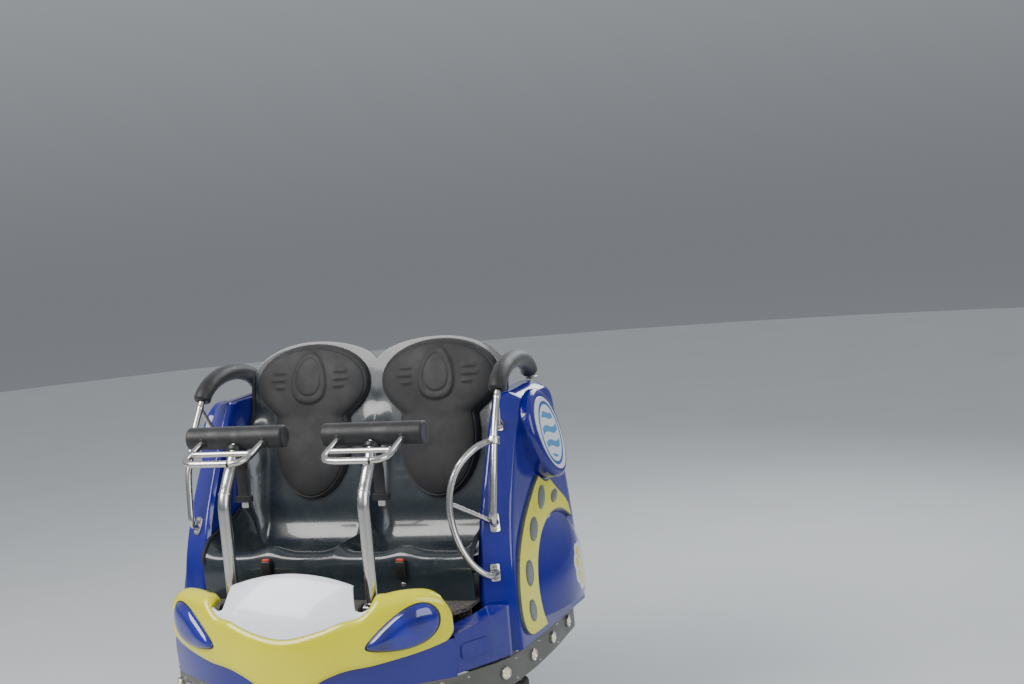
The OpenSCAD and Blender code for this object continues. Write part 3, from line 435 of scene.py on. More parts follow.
def mask_edge(a, column):
    """The height of the mask's lower (1) or upper (2) edge at an angle."""
    return smooth_table(np.abs(a), mask_rows, column)


def mask_wall(depth):
    """The mask's face: straight up, then over an arc of radius r - depth. The arc is r = 24 mm and 60
    degrees at the hood, and r = 36 mm and 150 degrees on the ears, less round their ends."""
    a = np.concatenate([np.linspace(-89, -37, 46), np.linspace(-36.5, -33.5, 9), np.linspace(-32, 32, 45),
                        np.linspace(33.5, 36.5, 9), np.linspace(37, 89, 46)])[None]
    on_ear = ease((np.abs(a) - 34) / 2.5)
    r = 0.024 + 0.012 * on_ear
    over = np.radians(60 + 90 * on_ear) * (1 - 0.58 * on_ear * ease((np.abs(a) - ear_end + 15) / 15))
    centre_z = mask_edge(a, 2) - r * np.sin(np.minimum(over, np.pi / 2))
    low = mask_edge(a, 1) + 0.0003
    up = np.linspace(0, 1, 16)[:, None]
    f = np.linspace(0, 1, 13)[1:, None] * over
    z = np.concatenate([low + (centre_z - low) * up, centre_z + (r - depth) * np.sin(f)])
    out = np.concatenate([np.broadcast_to(mask_h - depth, (16, a.size)),
                          mask_h - r + (r - depth) * np.cos(f)])
    # the foot of the face rolls in, so that it meets the blue body in a soft edge
    out = out - 0.004 * np.clip(1 - (z - low) / 0.006, 0, 1) ** 2 * (depth == 0)
    return nose_surface(np.broadcast_to(a, z.shape), z, out, ear_end)


def gelcoat(name, tint, deep, ripple=0.05, dirt=0.12, rough=0.1, edge=0.0):
    """Polished gelcoat: long ripples from the mould, fine haze and swirls, dust, and a clear coat. edge is
    the radius that the finish rounds a solid's edges to."""
    made, tree, shader = finish(name, Coat_Weight=0.6, Coat_Roughness=0.04, Specular_IOR_Level=0.5)
    place = place_of(tree)
    long_wave = noise(tree, place, 5.5, 2)
    peel = noise(tree, place, 240, 2)
    haze = step(tree, noise(tree, place, 17, 6, 0.65), 0.38, 0.75)
    settled = use(tree, dust, Amount=dirt, Scale=10.0)["Mask"]
    shade = between(tree, step(tree, noise(tree, place, 2.3, 3), 0.3, 0.7), tint, deep)
    start = {"Normal": use(tree, soft_edge, Radius=edge, Wear=0.0)["Normal"]} if edge else {}
    wave = relief(tree, long_wave, ripple, 0.02, **start)
    feed(tree, shader, Base_Color=between(tree, settled, shade, "9c978c"),
         Roughness=scaled(tree, settled, 0.5, scaled(tree, haze, 0.08, rough)),
         Normal=relief(tree, peel, 0.05, 0.0005, Normal=wave))
    return made


blue_gelcoat = gelcoat("blue_gelcoat", "0d1288", "0a0e74", ripple=0.08, dirt=0.05)
yellow_gelcoat = gelcoat("yellow_gelcoat", "e2dc08", "d8cf06", ripple=0.05, dirt=0.05, rough=0.16)
white_gelcoat = gelcoat("white_gelcoat", "f4f7fc", "ebf0f8", ripple=0.04, dirt=0.05, rough=0.22)
mask = piece("nose_mask_moulding", [wall(mask_wall(0.0), mask_wall(0.022))], [yellow_gelcoat],
             bevel=0.0035, angle=50)
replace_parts(mask, "nose_mask")

turn = np.linspace(-90, 90, 121)[None]
height = deck_z + (mask_edge(np.clip(turn, -ear_end, ear_end), 1) - deck_z) * np.linspace(0, 1, 9)[:, None]
around = np.broadcast_to(turn, height.shape)
lower_wall = wall(nose_surface(around, height, 0.0), nose_surface(around, height, -panel_t))
lower = piece("nose_lower_body", [lower_wall], [blue_gelcoat], bevel=0.002, angle=50)
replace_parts(lower, "nose_body")

# Lenses: a tear drop in front view, m + r (cos q long + sin q (0.67 + 0.33 cos q) wide), domed over it
lens_mid, lens_long, lens_wide = np.array([[0.382, 0.611], [0.104, 0.040], [0.014, -0.084]])


def on_lens(q, r, out):
    """A point on the lens at angle q and share r of its outline, out from the mask."""
    q = np.radians(q)[..., None]
    across = np.sin(q) * (0.67 + 0.33 * np.cos(q))
    m = lens_mid + r[..., None] * (np.cos(q) * lens_long + across * lens_wide)
    a = np.degrees(np.arcsin(m[..., 0] / (nose_w / 2)))
    return nose_surface(a, m[..., 1], mask_h + 0.0007 + out)


def mirrored(part):
    """The same part on the car's other side, its faces turned so that they still point out."""
    points = np.asarray(part[0], float).reshape(-1, 3) * (-1, 1, 1)
    return (points, [face[::-1] for face in part[1]], *part[2:])


def both(parts):
    """Parts of the right side with their mirror images."""
    return [*parts, *map(mirrored, parts)]


lens_glass, tree, shader = finish("lens_glass", Coat_Weight=1.0, Coat_Roughness=0.02, Specular_IOR_Level=0.6)
depth_of = clouds(tree, 14, 4, 0.3, 0.7)
feed(tree, shader, Base_Color=between(tree, depth_of, "0d1796", "0a1068"),
     Roughness=scaled(tree, noise(tree, place_of(tree), 40, 5), 0.1, 0.05))
seam_dark = gelcoat("lens_seam", "14161c", "0c0d12", ripple=0.02, rough=0.35)
q, r = np.meshgrid(np.linspace(360, 0, 73)[:-1], np.sin(np.linspace(0, np.pi / 2, 15))[::-1])
dome = on_lens(q, np.maximum(r, 0.001), 0.024 * (1 - r ** 3) ** 0.5)
q, r = np.meshgrid(np.linspace(360, 0, 73)[:-1], np.array([1.05, 1.05, 1.035, 1.01, 0.99]))
rim = on_lens(q, r, np.array([-0.002, 0.0002, 0.0012, 0.0014, 0.0006])[:, None] + 0 * q)
lens = piece("nose_lens_pair", both([(*surface(dome, around=True), 0), (*surface(rim, around=True), 1)]),
             [lens_glass, seam_dark], angle=60)
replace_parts(lens, "nose_lenses")

# Hood: between the mask's V edge and a free arched rear edge. Columns: share of the way, half width
hood_rows = [[0, 0.2936], [0.06, 0.288], [0.14, 0.268], [0.26, 0.246],
             [0.5, 0.238], [0.75, 0.231], [1, 0.224]]


def hood_surface(out):
    """Straight lines from the V edge to the rear edge, raised by 14 mm in an arch along and across."""
    r = np.linspace(0, 1, 41)[:, None]
    s = np.linspace(-1, 1, 61)[None]
    x = s * np.interp(r, *np.array(hood_rows).T)
    a = np.degrees(np.arcsin(x / (nose_w / 2)))
    v = s * s
    low = nose_surface(a, mask_edge(a, 2), -0.001 + out * (1 - r))
    rear_y = -0.389 - 0.005 * v + body_y
    rear_z = 0.801 - 0.038 * v
    b = 4 * r * (1 - r) * 0.014 * (1 - v)
    rolled = 0.006 * np.clip((r - 0.93) / 0.07, 0, 1) ** 2
    rear = np.stack(np.broadcast_arrays(x, rear_y, rear_z), -1)
    lift = np.broadcast_to(b + out * r, x.shape)[..., None]
    return low + (rear - low) * r[..., None] + lift * (0, -0.86, 0.5) + rolled[..., None] * (0, 1.2, -0.3)


hood = piece("nose_hood", [wall(hood_surface(0.0), hood_surface(-0.009))], [white_gelcoat],
             bevel=0.004, angle=50)
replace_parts(hood, "hood")


# Sills to step over beside the footwell: blue fibreglass with a raised panel, the CAD solid kept with its
# edges rounded by the finish.
sill_gelcoat = gelcoat("sill_gelcoat", "0d1288", "0a0e74", ripple=0.06, dirt=0.25, edge=0.006)
dress(sill_gelcoat, "sills")


# Skirt: a strip of grey sheet bent round the whole body and screwed on, with a folded edge top and foot,
# and sixteen round lamps with a steel ring and a clear ribbed lens over a pale yellow reflector.
body_w, rear_y, rear_r, skirt_low = 1.320, 0.660, 0.060, 0.330
side_rows = np.array([[-0.290, 0.135], [-0.096, 0.022], [0.130, 0.003], [0.350, 0.0], [0.600, 0.012]])


def side_x(y):
    """Half width of the body's side at y."""
    return body_w / 2 - np.interp(y, side_rows[:, 0], side_rows[:, 1])


def nose_plan(a):
    """The nose's plan curve at angles in degrees."""
    a = np.radians(a)
    return np.stack([nose_w / 2 * np.sin(a), -nose_back - nose_l * np.cos(a) ** 2], -1)


# The same facets as the solid has: the nose in thirds of a lamp's step, the side in thirds of its span
y = -0.215 + 0.068 * np.arange(12)
t = np.radians(np.arange(0, 91, 15))
corner = (side_x(rear_y - rear_r) - rear_r, rear_y - rear_r)
plan = np.concatenate([
    nose_plan(20 / 3 * (np.arange(13) + 0.5)), [[side_x(-nose_back), -nose_back]],
    np.stack([side_x(y), y], -1),
    corner + rear_r * np.stack([np.cos(t), np.sin(t)], -1), [[0.053, rear_y]]])


def skirt_wall():
    """The plan carried up a section whose top and foot roll in by 6 mm; the inside is a plain offset."""
    path = np.concatenate([plan[::-1] * (-1, 1), plan])
    along = np.diff(path, axis=0)
    along = np.concatenate([along[:1], along[:-1] + along[1:], along[-1:]])
    normal = np.stack([along[:, 1], -along[:, 0]], -1)
    normal /= np.linalg.norm(normal, axis=1, keepdims=True)
    section = rounded_profile([(-0.006, skirt_low), (0, skirt_low), (0, deck_z), (-0.006, deck_z)], 0.004, 4)

    def grid(rows):
        flat = path[None] + rows[:, :1, None] * normal[None]
        z = np.broadcast_to(rows[:, 1:, None], (*flat.shape[:2], 1))
        return np.concatenate([flat + (0, body_y), z], -1)
    inside = section * (0, 1) + (-0.008, 0)
    inside[:, 1] = np.clip(inside[:, 1], skirt_low + 0.002, deck_z - 0.002)
    return wall(grid(section), grid(inside))


def skirt_place(i):
    """The middle of facet i and the level direction out of it."""
    p, q = plan[i], plan[i + 1]
    d = (q - p) / np.linalg.norm(q - p)
    return (p + q) / 2 + (0, body_y), np.array([d[1], -d[0], 0])


skirt_grey = painted_steel("skirt_grey", "5f605a", wear=0.5, dirt=0.55, radius=0.0015)
screws = []
for i in [0, 3, 6, 9, 13, 16, 19, 22]:
    p, n = skirt_place(i)
    screws += [(*button_screw((*p, z), n, 0.009), 1) for z in (skirt_low + 0.015, deck_z - 0.014)]
skirt = piece("skirt_strip", [(*skirt_wall(), 0), *both(screws)], [skirt_grey, stainless],
              angle=30)
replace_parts(skirt, "skirts")

lamp_glass, tree, shader = finish("lamp_glass", Coat_Weight=1.0, Coat_Roughness=0.03, Specular_IOR_Level=0.6,
                                  Emission_Strength=0.25)
ribs = put(tree, "TexVoronoi", {"feature": "SMOOTH_F1"}, Vector=place_of(tree), Scale=190.0, Smoothness=0.5)
lit = step(tree, ribs.outputs["Distance"], 0.1, 0.75)
glow = between(tree, lit, "fff6cc", "d9c78c")
feed(tree, shader, Base_Color=glow, Emission_Color=glow, Roughness=scaled(tree, lit, 0.2, 0.08),
     Normal=relief(tree, ribs.outputs["Distance"], 0.35, 0.002))
lamp_rim = [(0.0165, 0), (0.022, 0), (0.022, 0.009), (0.0205, 0.0115), (0.018, 0.0112), (0.0165, 0.0085)]
parts = []
for i in [2, 5, 8, 11, 15, 18, 21, 24]:
    p, n = skirt_place(i)
    foot = np.array([*p, skirt_low + 0.55 * (deck_z - skirt_low)])
    t = np.linspace(0, np.pi / 2, 8)
    glass = np.stack([0.0172 * np.cos(t), 0.0072 + 0.0046 * np.sin(t)], -1)
    parts += [(*turned(rounded_profile(lamp_rim, 0.0015, 3), foot, n, 36), 0),
              (*turned(glass, foot, n, 36), 1)]
lamps = piece("skirt_lamps", both(parts), [stainless, lamp_glass], angle=45)
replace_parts(lamps, "lamps")


# Seat shell: a double bucket moulded in one piece of dark blue-grey fibreglass, 12 mm thick, polished.
# Across, s runs from -1 to 1 on each bucket; the rows go from the front face over the lip to the top.
seat_half, seat_top, lip_z, floor_z = 0.260, 1.478, 0.782, 0.620
# Where the back's straight upper part starts, as y and z, and how far it leans back for each unit up
knee, back_lean = (0.404, 1.160), 0.27
# Columns: y, z, lift of the pan at its sides, how far the back's sides come forward, hump on the lip
seat_rows = np.array([
    [-0.064, floor_z, 0, 0, 0], [-0.064, lip_z - 0.037, 0, 0, 0], [-0.054, lip_z - 0.010, 0.006, 0, 0.012],
    [-0.020, lip_z, 0.018, 0, 0.020], [0.040, lip_z - 0.018, 0.040, 0, 0.010],
    [0.110, lip_z - 0.040, 0.062, 0, 0], [0.200, lip_z - 0.050, 0.075, 0.010, 0],
    [0.275, lip_z - 0.037, 0.078, 0.040, 0], [0.318, lip_z + 0.018, 0.050, 0.060, 0],
    [0.340, 0.900, 0.010, 0.062, 0], [0.372, 1.030, 0, 0.060, 0], [*knee, 0, 0.030, 0]])


def seat_surface(seat):
    """One bucket: the rows, with bolsters that rise as ((|s| - 0.70) / 0.30)^2 at its sides, 1.8 times as
    high on the outer one, and a hump exp(-(s / 0.22)^2) on the lip, then the back up to a round top; smooth
    cubics run through the rows."""
    s = np.sin(np.linspace(-np.pi / 2, np.pi / 2, 61)) * 0.35 + np.linspace(-1, 1, 61) * 0.65
    k = np.where(seat * s > 0, 1.8, 1.0)
    bolster = np.clip((np.abs(s) - 0.70) / 0.30, 0, 1) ** 2
    r = seat_rows[:, :, None]
    y = r[:, 0] - r[:, 3] * bolster
    z = r[:, 1] + r[:, 2] * k * bolster + r[:, 4] * np.exp(-(s / 0.22) ** 2)
    top = seat_top - np.where(k > 1, 0.150, 0.093) * (1 - np.sqrt(1 - s * s / 1.04))
    high = knee[1] + (top - knee[1]) * np.array([[0.27], [0.54], [0.8], [1.0]])
    y = np.concatenate([y, knee[0] + (high - knee[1]) * back_lean])
    z = np.concatenate([z, high])
    rows = np.stack([y, z], -1)
    length = np.concatenate([[0], np.cumsum(np.linalg.norm(np.diff(rows[:, 30], axis=0), axis=1))])
    at = np.unique(np.concatenate([np.linspace(a, b, 9) for a, b in zip(length, length[1:])]))
    table = np.concatenate([length[:, None], rows.reshape(len(rows), -1)], 1)
    columns = [smooth_table(at, table, 1 + c) for c in range(rows[0].size)]
    dense = np.stack(columns, -1).reshape(len(at), -1, 2)
    x = np.broadcast_to(seat * seat_half + s * seat_half, dense.shape[:2])
    return np.concatenate([x[..., None], dense + (body_y, 0)], -1)


def thickness(grid, depth):
    """The grid moved in by depth along its own normals, which are means of the slopes beside each point."""
    along = np.gradient(grid, axis=1)
    n = np.cross(along, np.gradient(grid, axis=0))
    return grid - depth * n / np.linalg.norm(n, axis=-1, keepdims=True)


buckets = np.concatenate([seat_surface(-1), seat_surface(1)[:, 1:]], 1)
seat_gelcoat = gelcoat("seat_gelcoat", "222d34", "1b252b", ripple=0.1, dirt=0.1, rough=0.22)
shell = piece("seat_shell_moulding", [wall(buckets, thickness(buckets, 0.012))], [seat_gelcoat],
              bevel=0.004, angle=50)
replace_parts(shell, "seat_shell")


# Rubber strip pushed over the shell's two outer edges: a U section that closes the gap to the shields.
def grained(name, dark_, light_, size, dull, bump, gloss):
    """Moulded rubber or plastic with a fine grain. dull is a share of its shade and a level."""
    made, tree, shader = finish(name, Specular_IOR_Level=gloss)
    pebble = use(tree, grain, Scale=size)
    feed(tree, shader, Base_Color=between(tree, step(tree, pebble["Shade"], 0.35, 0.7), dark_, light_),
         Roughness=scaled(tree, pebble["Shade"], *dull), Normal=relief(tree, pebble["Height"], *bump))
    return made


rubber = grained("edge_rubber", "1f2022", "303234", 700.0, (0.3, 0.45), (0.25, 0.0005), 0.35)


def tube(path, radius, sides=24, ref=(1, 0.02, 0.01)):
    """Circles of a radius, or of one radius a point, carried along a path: p + r (u cos t + v sin t),
    with u at right angles to the path and to ref; closed by a point at each end."""
    path = np.asarray(path, float)
    heading = np.gradient(path, axis=0)
    heading /= np.linalg.norm(heading, axis=1, keepdims=True)
    u = np.cross(heading, ref)
    u /= np.linalg.norm(u, axis=1, keepdims=True)
    v = np.cross(heading, u)
    ends = np.r_[0, np.arange(len(path)), len(path) - 1]
    r = np.concatenate([[1e-5], np.broadcast_to(radius, len(path)), [1e-5]])[:, None, None]
    t = np.linspace(0, 2 * np.pi, sides, endpoint=False)[None, :, None]
    return surface(path[ends][:, None] + r * (np.cos(t) * u[ends][:, None] + np.sin(t) * v[ends][:, None]),
                   around=True)


piece("shell_edge_strip", [tube(buckets[9:, column], 0.0075, 12) for column in (0, -1)], [rubber])


# Back pads: one-piece foam with a tough moulded skin, charcoal, 52 mm thick. A wide lobe for the
# shoulders runs into a tongue; a seam goes all round, inside a rolled edge. A raised plain shield form
# stands on the lobe, with three short ribs on each side.
# Foam in a mould keeps its form, so the pads are shaped and not simulated.
pad_t, pad_mid = 0.052, 1.215
# The lobe's and the tongue's ellipse: height of the middle, half height, half width
pad_arches = ((1.335, 0.135, 0.233), (1.120, 0.225, 0.160))


def pad_half(z):
    """Half width: the lobe's and the tongue's ellipses joined as the cube root of the sum of their cubes."""
    arch = [r * np.sqrt(np.clip(1 - ((z - m) / h) ** 2, 0, None)) for m, h, r in pad_arches]
    return np.cbrt(arch[0] ** 3 + arch[1] ** 3)


def pad_outline(t):
    """Distance from the pad's middle to its edge at angle t, found by halving."""
    low, high = np.zeros_like(t), np.full_like(t, 0.4)
    for _ in range(40):
        mid = (low + high) / 2
        inside = np.abs(mid * np.sin(t)) < pad_half(pad_mid + mid * np.cos(t))
        low, high = np.where(inside, mid, low), np.where(inside, high, mid)
    return low


def back_y(z):
    """Where the shell's back is, at height z."""
    return np.interp(z, [0.900, 1.030, knee[1], 2 * knee[1]],
                     [0.340, 0.372, knee[0], knee[0] + knee[1] * back_lean])


def pad_surface(seat):
    """Rings of the outline at shares r of its size. The crown is (1 - r^5)^0.5, less a seam groove
    at 14 mm inside the edge, plus the raised form's soft steps and the ribs on the lobe."""
    t = np.linspace(0, 2 * np.pi, 289)[:-1]
    size = pad_outline(t)
    size = sum(np.roll(size, k) for k in range(-3, 4)) / 7 * 0.995
    r = np.concatenate([[0.002], np.linspace(0.05, 0.86, 60), np.linspace(0.865, 0.965, 21),
                        1 - 0.035 * np.cos(np.linspace(0.2, np.pi / 2, 9))])[:, None]
    x, z = r * size * np.sin(t), pad_mid + r * size * np.cos(t)
    from_edge = (1 - r) * size
    crown = pad_t * (0.16 + 0.80 * np.sqrt(1 - r ** 5) * (1 - 0.10 * r ** 2))
    crown = crown - 0.0035 * np.exp(-((from_edge - 0.014) / 0.0022) ** 2)
    dish = -0.006 * np.exp(-((z - 1.18) / 0.10) ** 2 - (x / 0.11) ** 2)
    shield = np.hypot(x / 0.070, (z - 1.350) / 0.094 + 0.25 * (x / 0.070) ** 2)
    form = 0.007 * ease((1.08 - shield) / 0.16) - 0.003 * np.exp(-((shield - 0.72) / 0.06) ** 2)
    for rib_z, end in ((1.318, 0.150), (1.345, 0.170), (1.372, 0.160)):
        within = ease((end - np.abs(x)) / 0.02) * ease((np.abs(x) - 0.092) / 0.02)
        form += 0.004 * np.exp(-((z - rib_z) / 0.0065) ** 2) * within
    front = crown + dish + form
    point = np.stack([x, back_y(z) - 0.0005 - front, z], -1)
    back = point[-1:] * (1, 0, 1)
    back[..., 1] = back_y(back[..., 2]) - 0.0003
    points, faces = surface(np.concatenate([point, back]), around=True)
    last = len(points) - len(t)
    faces += [list(range(len(t)))[::-1], list(range(last, len(points)))]
    return points + (seat * seat_half, body_y, 0), faces


pad_skin, tree, shader = finish("pad_skin", Specular_IOR_Level=0.4, Sheen_Weight=0.15, Sheen_Roughness=0.5)
hide = put(tree, "TexVoronoi", {"feature": "DISTANCE_TO_EDGE"}, Vector=place_of(tree), Scale=420.0)
creases = step(tree, hide.outputs["Distance"], 0.02, 0.22)
rubbed = clouds(tree, 8, 5, 0.38, 0.7, 0.6)
grey = between(tree, rubbed, "1d1d1f", "2a2a2c")
grey = between(tree, use(tree, dust, Amount=0.12, Scale=12.0)["Mask"], grey, "55514b")
feed(tree, shader, Base_Color=grey, Roughness=scaled(tree, rubbed, -0.12, 0.62),
     Normal=relief(tree, creases, 0.35, 0.0005))
for side, seat in (("left", -1), ("right", 1)):
    pad = piece(f"back_pad_{side}", [pad_surface(seat)], [pad_skin], angle=70)
    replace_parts(pad, "seat_pads")


# Side shields: royal blue fibreglass wings bolted beside the seats, 137 mm deep, polished. A crease runs up
# the front face between two bevels, the top corner is round and the rear edge flares out at its foot.
side_ref, side_yaw, side_lean = (0.662, 0.330, 0.640), math.radians(2.5), math.radians(4)
shield_in, shield_foot, shield_top, shield_deep = 0.525, 0.434, 1.290, 0.137
# How far back the rear edge is at its head and, past the flare, at its foot
shield_head, shield_rear = 0.615, 0.640
# Foremost line of the shield. Columns: height, y
shield_line = [[shield_foot, -0.060], [0.640, -0.042], [0.771, -0.020], [0.942, 0.048], [1.055, 0.112],
               [1.150, 0.170], [shield_top, 0.258]]
# Columns: depth, inset in front, on top, behind and at the foot
shield_bevels = np.array([[0, 0.016, 0.012, 0, 0], [0.0206, 0, 0, 0, 0], [0.0822, 0.024, 0.004, 0, 0],
                          [shield_deep, 0.042, 0.030, 0, 0], [shield_deep, 0.075, 0.063, 0.02, 0.004]])


def on_side(u, v, out):
    """The point u along the right side, v up it and out from the shield's leaning outer face."""
    u, v, out = np.broadcast_arrays(np.asarray(u, float), v, out)
    side = out * math.cos(side_lean) - (v - side_ref[2]) * math.sin(side_lean)
    rise = out * math.sin(side_lean) + (v - side_ref[2]) * math.cos(side_lean)
    back = u - side_ref[1]
    return np.stack([side_ref[0] + side * math.cos(side_yaw) + back * math.sin(side_yaw),
                     side_ref[1] - side * math.sin(side_yaw) + back * math.cos(side_yaw) + body_y,
                     side_ref[2] + rise], -1)


def shield_x(y, z):
    """Half width of the shield's outer face."""
    return side_ref[0] + (y - side_ref[1]) * math.tan(side_yaw) - (z - side_ref[2]) * math.tan(side_lean)


def cut_corners(p, times=2):
    """Each round puts points at a quarter and three quarters of every side of a closed outline."""
    for _ in range(times):
        after = np.roll(p, -1, axis=0)
        p = np.stack([0.75 * p + 0.25 * after, 0.25 * p + 0.75 * after], 1).reshape(-1, p.shape[1])
    return p


def shield_ring(depth, front, top, rear, foot):
    """The shield's outline at a depth, moved in by its four insets. The front line is a smooth cubic, and
    the outline's corners are cut."""
    z = np.concatenate([[shield_foot, shield_foot + 0.002], np.linspace(shield_foot + 0.01, shield_top, 44)])
    line = np.stack([smooth_table(z, shield_line, 1) + front,
                     z - top * ease((z - 1.15) / 0.14) + foot * (1 - ease((z - shield_foot) / 0.05))], -1)
    over = np.array([[0.288, 0], [0.320, 0], [0.400, 0], [0.500, 0], [0.555, 0], [0.580, 0.007],
                     [0.599, 0.021], [0.611, 0.041], [0.615, 0.062]]) * (1, -1) + (-rear, shield_top - top)
    over[0, 0] += front
    fall = np.concatenate([np.linspace(0.05, 0.97, 16), [0.998, 1]])[:, None]
    rear_z = shield_top - 0.062 - top
    down = np.concatenate([shield_head + (shield_rear - shield_head) * ease(fall / 0.6) - rear,
                           rear_z - (rear_z - shield_foot - foot) * fall], 1)
    p = cut_corners(np.concatenate([line, over, down]))[::-1]
    x = shield_in + depth / shield_deep * (shield_x(p[:, 0], p[:, 1]) - shield_in)
    return np.stack([x, p[:, 0] + body_y, p[:, 1]], -1)


def capped(rings, foot=True):
    """Rings joined one after the other and closed by a face on the last, and on the first if foot."""
    points, faces = surface(np.asarray(rings), around=True)
    n = len(rings[0])
    return points, faces + [list(range(len(points) - n, len(points)))] + [list(range(n))[::-1]] * foot


shield_parts = capped([shield_ring(*row) for row in rounded_profile(shield_bevels, 0.012, 4)])
shields = piece("side_shield_pair", both([shield_parts]), [blue_gelcoat], angle=40)
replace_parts(shields, "side_shields")

# Crescent band: a yellow plate 10 mm thick, edged in dark grey, bonded on the shield round the dome. Seen
# from the dome's middle it reaches from the dome's edge out to its own outline or the pod's, whichever is
# nearer; both ends run out to a point.
dome_mid, dome_r, dome_out, dome_low = np.array([0.432, 0.575]), 0.240, 0.058, 0.482
band_edge = [[0.367, 0.989], [0.300, 0.960], [0.220, 0.907], [0.158, 0.862], [0.108, 0.815], [0.066, 0.765],
             [0.034, 0.710], [0.014, 0.650], [0.002, 0.587], [0.002, 0.540], [0.014, 0.500], [0.040, 0.470],
             [0.080, 0.456], [0.300, 0.456], [0.300, 0.478], [0.600, 0.500], [0.600, 0.800], [0.560, 0.850],
             [0.500, 0.890], [0.440, 0.940], [0.400, 0.975]]
pod_mid, pod_half, pod_tilt, pod_out, pod_lean = np.array([0.395, 1.112]), (0.128, 0.168), -14, 0.055, 8


def egg(grow, count=120):
    """The pod's outline: an ellipse whose width grows by 8% towards its top, tilted."""
    a = np.linspace(0, 2 * np.pi, count, endpoint=False)
    p = np.stack([(pod_half[0] + grow) * np.cos(a) * (1 + 0.08 * np.sin(a)),
                  (pod_half[1] + grow) * np.sin(a)])
    c, s = math.cos(math.radians(pod_tilt)), math.sin(math.radians(pod_tilt))
    return pod_mid + np.stack([p[0] * c + p[1] * s, p[1] * c - p[0] * s], -1)


def seen_from(middle, angle, outline):
    """Distance from middle to the nearest crossing of each ray with a closed outline, or 9 where it
    misses."""
    p, d = outline - middle, np.roll(outline, -1, axis=0) - outline
    ray = np.stack([np.cos(angle), np.sin(angle)], -1)[:, None]
    under = ray[..., 0] * d[:, 1] - ray[..., 1] * d[:, 0]
    under = np.where(np.abs(under) < 1e-12, 1e-12, under)
    along = (p[:, 0] * d[:, 1] - p[:, 1] * d[:, 0]) / under
    share = (p[:, 0] * ray[..., 1] - p[:, 1] * ray[..., 0]) / under
    return np.where((share >= 0) & (share <= 1) & (along > 0), along, 9).min(1)


turn = np.radians(np.linspace(48.6, 209.2, 241))
outer = np.minimum(seen_from(dome_mid, turn, cut_corners(np.array(band_edge))),
                   seen_from(dome_mid, turn, egg(0.006)))
inner = np.maximum(dome_r + 0.003, np.where(turn < np.pi / 2, 0.190 / np.sin(turn), 0))
wide = np.maximum(outer - inner, 0.0004)
# Across the band. Columns: distance in from the nearer edge, height
band_t = 0.0104
band_section = np.array([[0, -0.001], [0, 0.0075], [0.0008, 0.0092], [0.0022, 0.0100], [0.0058, 0.0100],
                         [0.0064, 0.0102], [0.0100, band_t]])
rows = [(1, d, h) for d, h in band_section] + [(0, d, h) for d, h in band_section[::-1]]
band_grid = []
for from_outer, d, h in rows:
    away = np.minimum(d, 0.48 * wide)
    radius = outer - away if from_outer else np.minimum(inner + away, outer)
    band_grid.append(on_side(dome_mid[0] + radius * np.cos(turn), dome_mid[1] + radius * np.sin(turn), h))
points, faces = surface(np.array(band_grid))
# the five rows beside each edge are grey, and the three between them are yellow
in_row = np.arange(len(faces)) // (len(turn) - 1)
yellow_faces = [f for f, row in zip(faces, in_row) if 5 <= row <= 7]
dark_faces = [f for f, row in zip(faces, in_row) if not 5 <= row <= 7]
edge_grey = gelcoat("edge_grey", "4c4f45", "3d4039", ripple=0.03, rough=0.25)
spot_grey = gelcoat("spot_grey", "5c6262", "50575a", ripple=0.03, rough=0.28, dirt=0.2)
bands = piece("side_band_pair", both([(points, yellow_faces, 0), (points, dark_faces, 1)]),
              [yellow_gelcoat, edge_grey], angle=60)
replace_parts(bands, "side_bands")

# Spots on the band: low domed ovals of grey gelcoat in a thin darker rim.
# Columns: place along the side, height, half length, half width, tilt in degrees
spots = [[0.328, 0.893, 0.046, 0.030, -38], [0.213, 0.803, 0.046, 0.034, -42],
         [0.118, 0.668, 0.046, 0.034, -12],
         [0.098, 0.540, 0.040, 0.030, 10], [0.452, 0.872, 0.034, 0.022, -70]]
spot_parts = []
t = np.linspace(0, 2 * np.pi, 60, endpoint=False)
for u, v, long_, wide_, tilt in spots:
    c, s = math.cos(math.radians(tilt)), math.sin(math.radians(tilt))

    def spot_ring(inset, h):
        x, y = (wide_ - inset) * np.cos(t), (long_ - inset) * np.sin(t)
        return on_side(u + x * c - y * s, v + x * s + y * c, band_t + h)
    rim = [spot_ring(*row) for row in ((0, -0.001), (0, 0.0012), (0.0006, 0.002), (0.0026, 0.002),
                                       (0.0032, 0.0014))]
    face = [spot_ring(*row) for row in ((0.0032, 0.0014), (0.005, 0.0021), (0.009, 0.0026),
                                        (0.014, 0.0029))]
    spot_parts += [(*surface(np.array(rim), around=True), 1), (*capped(face, foot=False), 0)]
spot_piece = piece("band_spot_set", both(spot_parts), [spot_grey, edge_grey], angle=60)
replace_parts(spot_piece, "band_spots")


# Domes: the cap of a large sphere on each shield, cut off level above the skirt, its edge rounded. On it is
# a plain printed badge: a pale scalloped disc with a ring of yellow petals, put on as a decal.
def side_map(made, middle, size):
    """A map of the piece from its place along the side and its height, 0.5 at middle, one unit a size."""
    mesh = made.data
    place = np.array([v.co for v in mesh.vertices])
    y = place[:, 1] - body_y - side_ref[1]
    x = np.abs(place[:, 0]) - side_ref[0]
    u = x * math.sin(side_yaw) + y * math.cos(side_yaw) + side_ref[1]
    side = x * math.cos(side_yaw) - y * math.sin(side_yaw)
    v = (place[:, 2] - side_ref[2]) * math.cos(side_lean) - side * math.sin(side_lean) + side_ref[2]
    flat = np.stack([(u - middle[0]) / size, (v - middle[1]) / size], -1) + 0.5
    corner = np.array([loop.vertex_index for loop in mesh.loops])
    mesh.uv_layers.new(name="badge").uv.foreach_set("vector", flat[corner].ravel())


